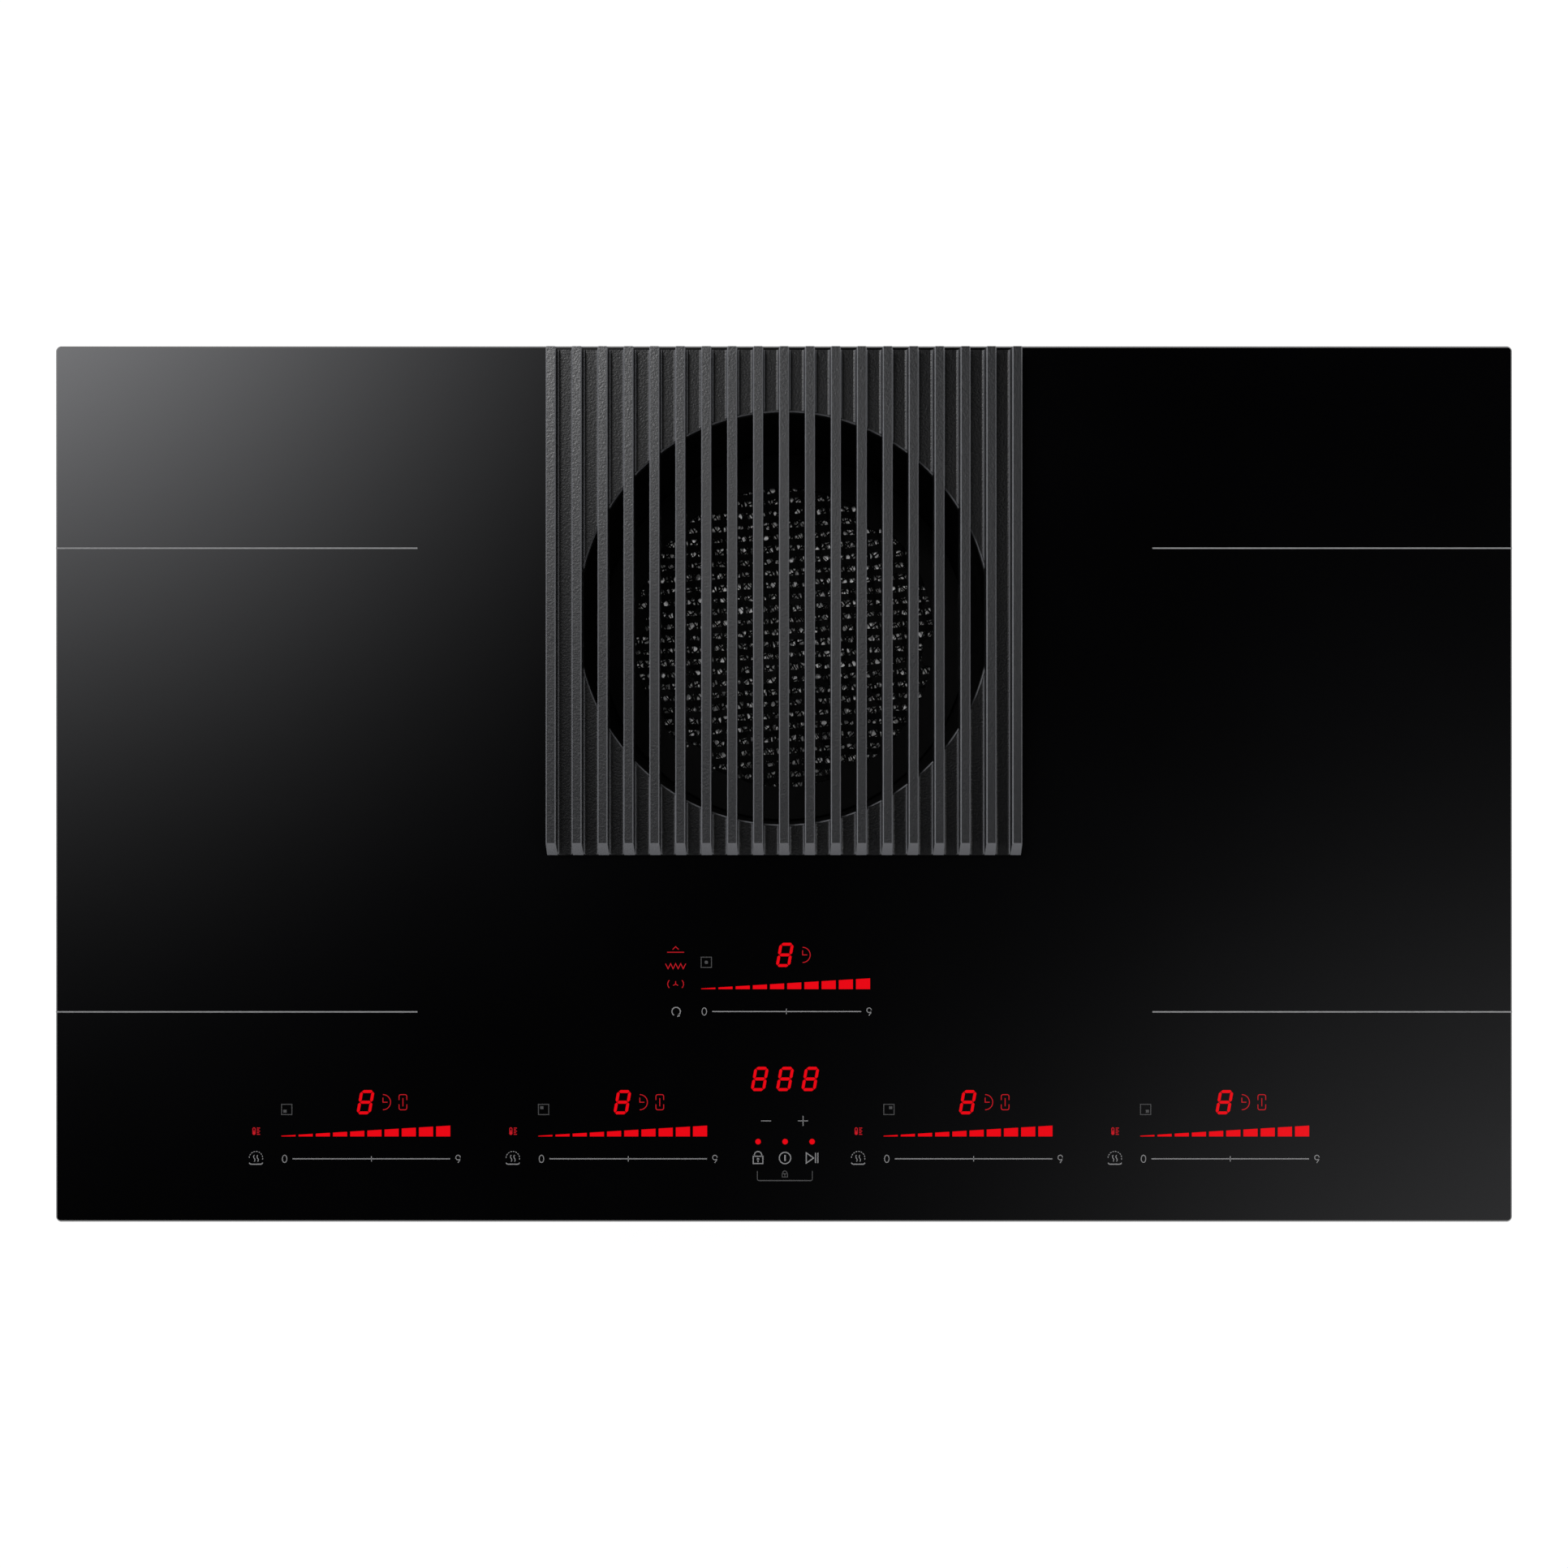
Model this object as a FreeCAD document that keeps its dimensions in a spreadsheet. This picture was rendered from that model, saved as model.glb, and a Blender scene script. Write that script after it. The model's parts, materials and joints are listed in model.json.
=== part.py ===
import FreeCAD
import Part
import Sketcher
import math
import os
import re

# Built-in induction hob with an extractor in the middle.
# Millimetres. Z is up, Y runs to the rear edge of the glass, and the origin is
# on the underside of the air box, below the middle of the glass.

# Driving sizes. Counts and angles are named as such.
SIZES = {
    # glass and worktop
    "glass_width": 865, "glass_depth": 520, "glass_thick": 4, "glass_corner": 3, "glass_bevel": 1.2,
    "glass_hole_gap": 2.5, "seal_thick": 2, "seal_width": 10, "seal_inset": 3,
    # grille over the air inlet
    "inlet_radius": 122, "inlet_rear": 40, "grille_side": 18, "grille_front": 18, "grille_rear_gap": 3.3,
    "plate_thick": 2, "plate_bevel": 0.7, "pad_thick": 1, "pad_size": 14, "pad_inset": 6, "lip_wall": 1.6,
    "lip_drop": 3,
    "rib_count": 19, "rib_base": 6.3, "rib_top": 5.8, "rib_height": 7, "rib_edge": 0.6, "rib_slope": 7.4,
    # well and grease filter
    "well_gap": 1, "well_wall": 2.5, "well_depth": 113.5, "well_flange": 11, "well_seal": 1,
    "well_shoulder": 5, "pan_hole_gap": 0.5, "ledge_width": 19,
    "frame_gap": 1.5, "frame_height": 10.5, "frame_sheet": 2.5, "frame_lip": 21.5,
    "frame_wall": 2, "tab_length": 7, "tab_width": 18, "tab_count": 6, "tab_round": 4, "tab_turn": 36,
    "mesh_gap": 0.05,
    "mesh_pitch_x": 13, "mesh_pitch_y": 9, "mesh_hole_x": 11, "mesh_hole_y": 7.4,
    # drip tray
    "tray_gap": 3, "tray_height": 42, "tray_wall": 1.6, "tray_draft": 8, "tray_rim": 4,
    "lug_width": 30, "lug_height": 12, "lug_count": 2,
    # air box under the pan
    "box_half": 150, "box_front": 203, "box_rear": 134, "box_wall": 3, "box_flange": 8, "box_corner": 4,
    "lid_thick": 3, "collar_height": 3, "head_radius": 4, "head_height": 2.4, "lid_head": 2.8,
    "wall_rib": 3, "wall_rib_depth": 4, "wall_rib_pitch": 45, "front_ribs": 6, "side_ribs": 6,
    "lid_screw_side": 105, "lid_screw_front": 172, "lid_screw_middle": 80, "lid_screw_rear": 67,
    # blower on the right wall of the air box
    "wheel_radius": 50, "wheel_width": 86, "blade_count": 30, "blade_depth": 10, "blade_thick": 1.2,
    "blade_bow": 9, "disc_thick": 2, "eye_gap": 1.2, "ring_wall": 1.8, "ring_gap": 0.4, "ring_flange": 8,
    "ring_overlap": 6, "tongue_gap": 5, "scroll_step": 6, "scroll_wall": 2.5, "wheel_end": 6,
    "scroll_lift": 4.5, "scroll_head": 3.5, "blade_sweep": 7, "shaft_radius": 4, "shaft_gap": 0.05,
    "hub_radius": 12, "hub_length": 24, "cover_thick": 3, "motor_radius": 33, "motor_length": 44,
    "motor_round": 4, "motor_ring": 46, "motor_flange": 4, "motor_screws": 3,
    # flat duct spigot at the rear
    "duct_width": 222, "duct_height": 89, "duct_wall": 2.5, "flare_length": 50, "spigot_length": 28,
    "duct_side": 3, "duct_low": 36,
    # sheet steel pan
    "pan_inset_x": 24.5, "pan_inset_y": 23, "pan_depth": 58, "sheet": 1, "pan_flange": 7, "pan_corner": 6,
    "vent_count": 8, "vent_pitch": 9, "vent_width": 4, "vent_length": 64,
    "rear_vent_count": 14, "rear_vent_pitch": 16, "rear_vent_length": 9, "rear_vent_height": 22,
    # worktop brackets
    "bracket_width": 34, "bracket_leg": 18, "bracket_foot": 9, "bracket_thick": 1.5, "bracket_drop": 22,
    "bracket_span": 300, "bracket_hole": 2.1,
    # induction coils
    "side_gap": 6, "coil_gap": 6, "coil_core": 22, "winding_thick": 4.5, "former_thick": 4.5,
    "coil_plate": 1.5, "mica_thick": 0.6, "glass_air": 0.4, "former_rim": 4, "ferrite_count": 6,
    "ferrite_width": 12, "ferrite_thick": 3, "sensor_radius": 7, "post_radius": 4, "post_inset": 14,
    # power electronics
    "board_thick": 1.6, "board_lift": 9, "board_width": 230, "board_depth": 250, "board_y": 30,
    "sink_width": 62, "sink_depth": 170, "sink_base": 5, "sink_height": 24, "fin_count": 9, "fin_thick": 1.6,
    "cap_radius": 11, "cap_height": 24, "cap_pitch": 33, "cap_x": 62, "choke_size": 34, "choke_height": 22,
    "choke_x": 70.5, "choke_pitch": 68,
    # cooling fans
    "fan_size": 80, "fan_height": 25, "fan_inset": 118, "fan_front": 46, "fan_bore": 37, "fan_blades": 7,
    "fan_hub": 15, "fan_gap": 1, "fan_spindle": 1.5, "fan_base": 2.5, "fan_strut": 5, "vane_half": 9,
    "vane_root": 10.5,
    # controls under the glass
    "control_width": 680, "control_depth": 78, "control_front": 4, "control_wall": 2, "control_height": 9,
    "display_width": 13, "display_depth": 18, "display_lift": 3, "zone_first": 248.3, "zone_pitch": 152.4,
    "zone_jump": 357.3, "zone_shift": 4, "timer_shift": 18,
    "extractor_width": 150, "extractor_gap": 1.5, "lamp_share": 0.45, "timer_pitch": 15,
    # mains terminals
    "terminal_side": 68, "terminal_rear": 42, "cover_width": 92, "cover_depth": 64, "cover_height": 34,
    "cover_wall": 2, "block_width": 60, "block_depth": 26, "block_height": 20, "gland_radius": 11,
    "gland_bore": 7, "gland_length": 24, "gland_nut": 14, "gland_nut_length": 7, "gland_low": 18,
}

# Sizes that follow from the driving ones.
FOLLOWS = {
    "inlet_y": "glass_depth / 2 - inlet_rear - inlet_radius",
    "scroll_big": "wheel_radius + tongue_gap + scroll_step * 5 / 2",
    "scroll_low": "wheel_radius + tongue_gap + scroll_step",
    "axle_z": "scroll_lift + scroll_wall + scroll_low",
    "box_height": "axle_z + scroll_big + scroll_step / 2 + scroll_wall + scroll_head",
    "lid_top": "box_height + lid_thick",
    "glass_under": "lid_top + pan_depth",
    "glass_over": "glass_under + glass_thick",
    "plate_low": "glass_over + pad_thick",
    "grille_half": "inlet_radius + grille_side",
    "grille_y": "inlet_y - inlet_radius - grille_front",
    "grille_depth": "glass_depth / 2 - grille_rear_gap - grille_y",
    "well_radius": "inlet_radius + well_gap",
    "well_outer": "well_radius + well_wall",
    "glass_hole": "inlet_radius + glass_hole_gap",
    "ledge_radius": "well_radius - ledge_width",
    "ledge_z": "glass_over - well_depth",
    "frame_radius": "well_radius - frame_gap",
    "frame_inner": "frame_radius - frame_lip",
    "mesh_radius": "frame_radius - frame_wall - mesh_gap",
    "tray_radius": "ledge_radius - tray_gap",
    "pan_half_x": "glass_width / 2 - pan_inset_x",
    "pan_half_y": "glass_depth / 2 - pan_inset_y",
    "pan_floor": "lid_top + sheet",
    "eye_radius": "wheel_radius - blade_depth - eye_gap - ring_wall",
    "ring_outer": "eye_radius + ring_wall",
    "scroll_width": "wheel_width + 2 * wheel_end",
    "axle_y": "inlet_y",
    "outlet_x": "scroll_big + scroll_wall + tongue_gap",
    "control_edge": "control_depth + control_front + coil_gap - pan_half_y + sheet",
    "coil_radius": "(pan_half_y - sheet - side_gap - control_edge - coil_gap) / 4",
    "coil_x": "pan_half_x - sheet - side_gap - coil_radius",
    "coil_rear_y": "pan_half_y - sheet - side_gap - coil_radius",
    "coil_front_y": "control_edge + coil_radius",
    "mica_low": "glass_under - glass_air - mica_thick",
    "winding_low": "mica_low - winding_thick",
    "former_low": "winding_low - former_thick",
    "coil_plate_low": "former_low - coil_plate",
    "board_low": "pan_floor + board_lift",
    "board_top": "board_low + board_thick",
    "board_x": "pan_half_x - sheet - side_gap - board_width / 2",
    "fan_x": "coil_x - fan_inset",
    "fan_y": "fan_front - pan_half_y",
    "control_y": "control_front + control_depth / 2 - pan_half_y + sheet",
    "control_low": "glass_under - control_height",
    "control_rear": "control_y + control_depth / 2",
    "extractor_room": "inlet_y - well_radius - well_flange - control_rear",
    "extractor_depth": "extractor_room - 2 * extractor_gap",
    "extractor_y": "control_rear + extractor_room / 2",
    "extractor_lamp": "control_rear + lamp_share * extractor_room",
    "bracket_z": "glass_under - seal_thick - bracket_drop",
    "terminal_x": "pan_half_x - terminal_side",
    "terminal_y": "pan_half_y - terminal_rear",
}

UP = FreeCAD.Rotation()
# Local Z along the blower's axle, local X to the rear and local Y up
AXLE = FreeCAD.Rotation(FreeCAD.Vector(1, 1, 1), 120)
# Local Z to the rear
REARWARD = FreeCAD.Rotation(FreeCAD.Vector(1, 0, 0), -90)

doc = FreeCAD.newDocument("Hob")
dims = doc.addObject("Spreadsheet::Sheet", "Dims")
for row, (alias, number) in enumerate(SIZES.items(), 1):
    dims.set(f"A{row}", alias)
    dims.set(f"B{row}", str(number))
    dims.setAlias(f"B{row}", alias)
doc.recompute()

nodes = []
# Two places closer than this are the same
NEAR = 1e-6


def ref(text):
    """Write an expression in the sheet's own names."""
    def one(match):
        word = match.group()
        if word in FOLLOWS:
            return "(" + ref(FOLLOWS[word]) + ")"
        return "Dims." + word if word in SIZES else word
    return re.sub(r"[a-z]\w*", one, str(text))


def value(text):
    """Number that an expression gives now."""
    return float(dims.evalExpression(ref(text)))


def bind(thing, **sizes):
    """Tie properties to expressions; a double underscore stands for a dot."""
    for name, text in sizes.items():
        thing.setExpression(name.replace("__", "."), ref(text))
    return thing


def place(thing, x=0, y=0, z=0, turn=UP):
    """Set the turn of a piece and tie its place."""
    thing.Placement = FreeCAD.Placement(FreeCAD.Vector(value(x), value(y), value(z)), turn)
    return bind(thing, Placement__Base__x=x, Placement__Base__y=y, Placement__Base__z=z)


def node(thing, label):
    """Name a finished piece, so that it gets a file of its own."""
    thing.Label = label
    nodes.append(thing)
    return thing


def datum(sketch, kind, geometry, point, text):
    """Add a driven size to a sketch."""
    if point is None:
        index = sketch.addConstraint(Sketcher.Constraint(kind, geometry, value(text)))
    else:
        index = sketch.addConstraint(Sketcher.Constraint(kind, geometry, point, value(text)))
    sketch.setExpression(f"Constraints[{index}]", ref(text))


def arc_through(start, end, radius, left):
    """Arc of less than half a circle, with its centre on the left or right of the chord."""
    chord = end - start
    half = chord.Length / 2
    normal = FreeCAD.Vector(-chord.y, chord.x, 0).normalize()
    rise = math.sqrt(max(radius * radius - half * half, 0))
    side = 1 if left else -1
    centre = (start + end) / 2 + normal * (rise * side)
    middle = centre - normal * (radius * side)
    return Part.Arc(start, middle, end)


def draw_loop(sketch, corners):
    """Closed outline. A corner is (x, y), or (x, y, radius, left) where an arc leads to it."""
    first = sketch.GeometryCount
    count = len(corners)
    spots = [FreeCAD.Vector(value(c[0]), value(c[1]), 0) for c in corners]
    for i in range(count):
        end = corners[(i + 1) % count]
        if len(end) == 2:
            edge = Part.LineSegment(spots[i], spots[(i + 1) % count])
        else:
            edge = arc_through(spots[i], spots[(i + 1) % count], value(end[2]), end[3])
        sketch.addGeometry(edge, False)
    for i in range(count):
        end = corners[(i + 1) % count]
        # A sketch keeps its arcs anticlockwise, so a clockwise one starts at its far end
        head, tail = (1, 2) if len(end) == 2 or end[3] else (2, 1)
        after = corners[(i + 2) % count]
        next_head = 1 if len(after) == 2 or after[3] else 2
        sketch.addConstraint(Sketcher.Constraint(
            "Coincident", first + i, tail, first + (i + 1) % count, next_head))
        datum(sketch, "DistanceX", first + i, head, corners[i][0])
        datum(sketch, "DistanceY", first + i, head, corners[i][1])
        if len(end) == 4:
            datum(sketch, "Radius", first + i, None, end[2])


def draw_circle(sketch, x, y, radius):
    """Circle with its centre and radius driven."""
    centre = FreeCAD.Vector(value(x), value(y), 0)
    index = sketch.addGeometry(Part.Circle(centre, FreeCAD.Vector(0, 0, 1), value(radius)), False)
    datum(sketch, "Radius", index, None, radius)
    datum(sketch, "DistanceX", index, 3, x)
    datum(sketch, "DistanceY", index, 3, y)


def rectangle(x0, y0, x1, y1):
    """Corners of a rectangle."""
    return [(x0, y0), (x1, y0), (x1, y1), (x0, y1)]


def rounded(x0, y0, x1, y1, radius):
    """Corners of a rectangle with round corners."""
    r = f"({radius})"
    return [
        (f"{x0} + {r}", y0, r, True), (f"{x1} - {r}", y0),
        (x1, f"{y0} + {r}", r, True), (x1, f"{y1} - {r}"),
        (f"{x1} - {r}", y1, r, True), (f"{x0} + {r}", y1),
        (x0, f"{y1} - {r}", r, True), (x0, f"{y0} + {r}"),
    ]


def circle(x, y, radius):
    """Circle as one entry of a sketch's loops."""
    return ("circle", x, y, radius)


def new_body(name, x=0, y=0, z=0, turn=UP):
    """Empty body in its place."""
    return place(doc.addObject("PartDesign::Body", name), x, y, z, turn)


def origin(body, role):
    """Plane or axis of the body's own origin."""
    return next(o for o in body.Origin.OriginFeatures if o.Role == role)


def sketch(body, plane, loops, offset=0):
    """Sketch on an origin plane, moved along the plane's normal."""
    drawing = body.newObject("Sketcher::SketchObject", body.Name + "_sketch")
    drawing.AttachmentSupport = [(origin(body, plane + "_Plane"), "")]
    drawing.MapMode = "FlatFace"
    bind(drawing, AttachmentOffset__Base__z=offset)
    for loop in loops:
        if loop[0] == "circle":
            draw_circle(drawing, *loop[1:])
        else:
            draw_loop(drawing, loop)
    return drawing


def pad(body, drawing, length, back=False, both=False):
    """Pad along the sketch's normal, against it, or half each way."""
    feature = body.newObject("PartDesign::Pad", body.Name + "_pad")
    feature.Profile = drawing
    feature.Reversed = back
    feature.Midplane = both
    return bind(feature, Length=length)


def pocket(body, drawing, depth=None, forward=True, both=False):
    """Pocket of a depth, or through everything, along the sketch's normal or against it."""
    doc.recompute()
    before = body.Shape.Volume
    feature = body.newObject("PartDesign::Pocket", body.Name + "_pocket")
    feature.Profile = drawing
    feature.Reversed = forward
    if depth is None:
        feature.Type = "ThroughAll"
        feature.Midplane = both
    else:
        bind(feature, Length=depth)
    doc.recompute()
    if not body.Shape.Volume < before:
        raise RuntimeError(body.Name + ": a pocket cuts nothing")
    return feature


def revolve(body, corners):
    """Solid of revolution about the body's Z axis, from (radius, height) corners."""
    drawing = sketch(body, "XZ", [corners])
    feature = body.newObject("PartDesign::Revolution", body.Name + "_turned")
    feature.Profile = drawing
    feature.ReferenceAxis = (drawing, ["V_Axis"])
    return feature


def in_row(body, feature, axis, length, count):
    """Repeat a feature along an axis over a length."""
    doc.recompute()
    row = body.newObject("PartDesign::LinearPattern", body.Name + "_row")
    row.Originals = [feature]
    row.Direction = (origin(body, axis + "_Axis"), [""])
    bind(row, Length=length, Occurrences=count)
    body.Tip = row
    return row


def in_ring(body, feature, count):
    """Repeat a feature round the body's Z axis."""
    doc.recompute()
    ring = body.newObject("PartDesign::PolarPattern", body.Name + "_ring")
    ring.Originals = [feature]
    ring.Axis = (origin(body, "Z_Axis"), [""])
    ring.Angle = 360
    bind(ring, Occurrences=count)
    body.Tip = ring
    return ring


def block(x, y, z, width, depth, height):
    """Box centred on x and y, standing on z."""
    box = doc.addObject("Part::Box", "Block")
    bind(box, Length=width, Width=depth, Height=height)
    return place(box, f"{x} - ({width}) / 2", f"{y} - ({depth}) / 2", z)


def rod(x, y, z, radius, height, turn=UP):
    """Cylinder standing on a point, along Z or along the turned Z."""
    cylinder = doc.addObject("Part::Cylinder", "Rod")
    bind(cylinder, Radius=radius, Height=height)
    return place(cylinder, x, y, z, turn)


def group(label, pieces):
    """Several separate solids under one name."""
    several = doc.addObject("Part::Compound", "Group")
    several.Links = pieces
    return node(several, label)


def bevel_edge(body, feature, y, z, size):
    """Bevel on the edges whose middle is at a depth and a height of a feature."""
    doc.recompute()
    edges = []
    for number, edge in enumerate(feature.Shape.Edges, 1):
        middle = edge.CenterOfMass
        if math.hypot(middle.y - value(y), middle.z - value(z)) < NEAR:
            edges.append(f"Edge{number}")
    bevel = body.newObject("PartDesign::Chamfer", "bevel")
    bevel.Base = (feature, edges)
    bind(bevel, Size=size)


def make_glass():
    """Glass plate with a round hole and a bevelled front edge."""
    body = new_body("glass", z="glass_under")
    half_x, half_y = "glass_width / 2", "glass_depth / 2"
    outline = rounded(f"-{half_x}", f"-{half_y}", half_x, half_y, "glass_corner")
    slab = pad(body, sketch(body, "XY", [outline, circle(0, "inlet_y", "glass_hole")]), "glass_thick")
    bevel_edge(body, slab, f"-{half_y}", "glass_thick", "glass_bevel")
    node(body, "glass_top")


def make_seals():
    """Foam strip under the rim of the glass, and the gasket of the well."""
    strip = new_body("strip", z="glass_under - seal_thick")
    outer_x, outer_y = "glass_width / 2 - seal_inset", "glass_depth / 2 - seal_inset"
    outer = rectangle(f"-({outer_x})", f"-({outer_y})", outer_x, outer_y)
    inner_x, inner_y = f"{outer_x} - seal_width", f"{outer_y} - seal_width"
    inner = rectangle(f"-({inner_x})", f"-({inner_y})", inner_x, inner_y)
    pad(strip, sketch(strip, "XY", [outer, inner]), "seal_thick")
    node(strip, "worktop_seal")
    gasket = new_body("gasket", y="inlet_y", z="glass_under - well_seal")
    rings = [circle(0, 0, "well_radius + well_flange"), circle(0, 0, "glass_hole")]
    pad(gasket, sketch(gasket, "XY", rings), "well_seal")
    node(gasket, "well_seal")


def make_grille():
    """Ribbed casting with a round opening in its plate, on four pads and a ring that centres it."""
    body = new_body("ribbed", y="grille_y", z="plate_low")
    centre = "inlet_y - grille_y"
    outline = rectangle("-grille_half", 0, "grille_half", "grille_depth")
    plate = pad(body, sketch(body, "XY", [outline, circle(0, centre, "inlet_radius")]), "plate_thick")
    bevel_edge(body, plate, centre, "plate_thick", "plate_bevel")
    middle = "rib_base / 2 - grille_half"
    top = "plate_thick + rib_height"
    section = [
        (f"{middle} - rib_base / 2", 0), (f"{middle} + rib_base / 2", 0),
        (f"{middle} + rib_base / 2", "plate_thick"), (f"{middle} + rib_top / 2", f"{top} - rib_edge"),
        (f"{middle} + rib_top / 2 - rib_edge", top), (f"{middle} - rib_top / 2 + rib_edge", top),
        (f"{middle} - rib_top / 2", f"{top} - rib_edge"), (f"{middle} - rib_base / 2", "plate_thick"),
    ]
    rib = pad(body, sketch(body, "XZ", [section]), "grille_depth", back=True)
    in_row(body, rib, "X", "2 * grille_half - rib_base", "rib_count")
    slope = [
        (0, "plate_thick"), ("rib_slope", top), ("rib_slope", f"{top} + rib_edge"),
        ("-rib_edge", f"{top} + rib_edge"), ("-rib_edge", "plate_thick"),
    ]
    pocket(body, sketch(body, "YZ", [slope]), both=True)
    node(body, "grille")
    ring = new_body("centring", y="inlet_y", z="plate_low - lip_drop")
    lip = [circle(0, 0, "inlet_radius + lip_wall"), circle(0, 0, "inlet_radius")]
    pad(ring, sketch(ring, "XY", lip), "lip_drop")
    pads = [ring]
    for x in ("-1", "1"):
        across = f"{x} * (grille_half - pad_inset - pad_size / 2)"
        near = "grille_y + pad_inset + pad_size / 2"
        for y in (near, "grille_y + grille_depth - pad_inset - pad_size / 2"):
            pads.append(block(across, y, "glass_over", "pad_size", "pad_size", "pad_thick"))
    group("grille_pads", pads)


def make_well():
    """Moulded well from the glass down to the filter's ledge, with a shoulder on the pan's floor."""
    body = new_body("well", y="inlet_y")
    top = "glass_under - well_seal"
    low = "ledge_z - well_wall"
    revolve(body, [
        ("ledge_radius", low), ("well_outer", low), ("well_outer", "pan_floor"),
        ("well_outer + well_shoulder", "pan_floor"), ("well_outer + well_shoulder", "pan_floor + well_wall"),
        ("well_outer", "pan_floor + well_wall"), ("well_outer", f"{top} - well_wall"),
        ("well_radius + well_flange", f"{top} - well_wall"), ("well_radius + well_flange", top),
        ("well_radius", top), ("well_radius", "ledge_z"), ("ledge_radius", "ledge_z"),
    ])
    node(body, "filter_well")


def make_filter():
    """Frame with inward tabs, and the mesh that it grips."""
    turn = FreeCAD.Rotation(FreeCAD.Vector(0, 0, 1), -value("tab_turn"))
    body = new_body("frame", y="inlet_y", z="ledge_z", turn=turn)
    groove = "frame_radius - frame_wall"
    revolve(body, [
        ("frame_inner", 0), ("frame_radius", 0), ("frame_radius", "frame_height"),
        ("frame_inner", "frame_height"), ("frame_inner", "frame_height - frame_sheet"),
        (groove, "frame_height - frame_sheet"), (groove, "frame_sheet"), ("frame_inner", "frame_sheet"),
    ])
    root, tip = "frame_inner + frame_sheet", "frame_inner - tab_length"
    tongue = [
        ("-tab_width / 2", root), ("-tab_width / 2", f"{tip} + tab_round"),
        ("-tab_width / 2 + tab_round", tip, "tab_round", True), ("tab_width / 2 - tab_round", tip),
        ("tab_width / 2", f"{tip} + tab_round", "tab_round", True), ("tab_width / 2", root),
    ]
    tab = pad(body, sketch(body, "XY", [tongue], "frame_height - frame_sheet"), "frame_sheet")
    in_ring(body, tab, "tab_count")
    node(body, "filter_frame")
    make_mesh()


def make_mesh():
    """Disc with staggered diamond holes."""
    radius = value("mesh_radius")
    step_x, step_y = value("mesh_pitch_x"), value("mesh_pitch_y")
    half_x, half_y = value("mesh_hole_x / 2"), value("mesh_hole_y / 2")
    reach = value("frame_inner - frame_sheet")
    wires = [Part.Wire(Part.makeCircle(radius))]
    rows = int(reach / step_y)
    columns = int(reach / step_x) + 1
    for row in range(-rows, rows + 1):
        for column in range(-columns, columns + 1):
            x = (column + 0.5 * (row % 2)) * step_x
            y = row * step_y
            if math.hypot(abs(x) + half_x, abs(y) + half_y) > reach:
                continue
            corners = [(x - half_x, y), (x, y - half_y), (x + half_x, y), (x, y + half_y), (x - half_x, y)]
            wires.append(Part.makePolygon([FreeCAD.Vector(a, b, 0) for a, b in corners]))
    face = Part.Face(wires, "Part::FaceMakerBullseye")
    height = value("frame_height - 2 * frame_sheet - 2 * mesh_gap")
    net = doc.addObject("Part::Feature", "Net")
    net.Shape = face.extrude(FreeCAD.Vector(0, 0, height))
    place(net, 0, "inlet_y", "ledge_z + frame_sheet + mesh_gap")
    node(net, "filter_mesh")


def make_tray():
    """Dish that lifts out through the well, with two finger lugs on its rim."""
    body = new_body("dish", y="inlet_y", z="box_wall")
    wall = "tray_radius - tray_rim"
    foot = f"{wall} - tray_draft"
    revolve(body, [
        (0, 0), (foot, 0), (wall, "tray_height - tray_wall"), ("tray_radius", "tray_height - tray_wall"),
        ("tray_radius", "tray_height"), (f"{wall} - tray_wall", "tray_height"),
        (f"{foot} - tray_wall", "tray_wall"), (0, "tray_wall"),
    ])
    grip = rectangle(wall, "-lug_width / 2", f"{wall} + tray_wall", "lug_width / 2")
    lug = pad(body, sketch(body, "XY", [grip], "tray_height"), "lug_height")
    in_ring(body, lug, "lug_count")
    node(body, "drip_tray")


def box_outline(grow, corner):
    """Outline of the air box about the inlet, grown by a margin."""
    return rounded(f"-(box_half + {grow})", f"-(box_front + {grow})", f"box_half + {grow}",
                   f"box_rear + {grow}", corner)


def make_wall_ribs(body):
    """Upright ribs on the outside of the air box's front and left walls, up to its flange."""
    height = "box_height - box_wall"
    x = "-(front_ribs - 1) * wall_rib_pitch / 2"
    front = rectangle(f"{x} - wall_rib / 2", "-box_front - wall_rib_depth",
                      f"{x} + wall_rib / 2", "-box_front + box_wall")
    rib = pad(body, sketch(body, "XY", [front]), height)
    in_row(body, rib, "X", "(front_ribs - 1) * wall_rib_pitch", "front_ribs")
    y = "(box_rear - box_front) / 2 - (side_ribs - 1) * wall_rib_pitch / 2"
    left = rectangle("-box_half - wall_rib_depth", f"{y} - wall_rib / 2",
                     "-box_half + box_wall", f"{y} + wall_rib / 2")
    rib = pad(body, sketch(body, "XY", [left]), height)
    in_row(body, rib, "Y", "(side_ribs - 1) * wall_rib_pitch", "side_ribs")


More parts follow.
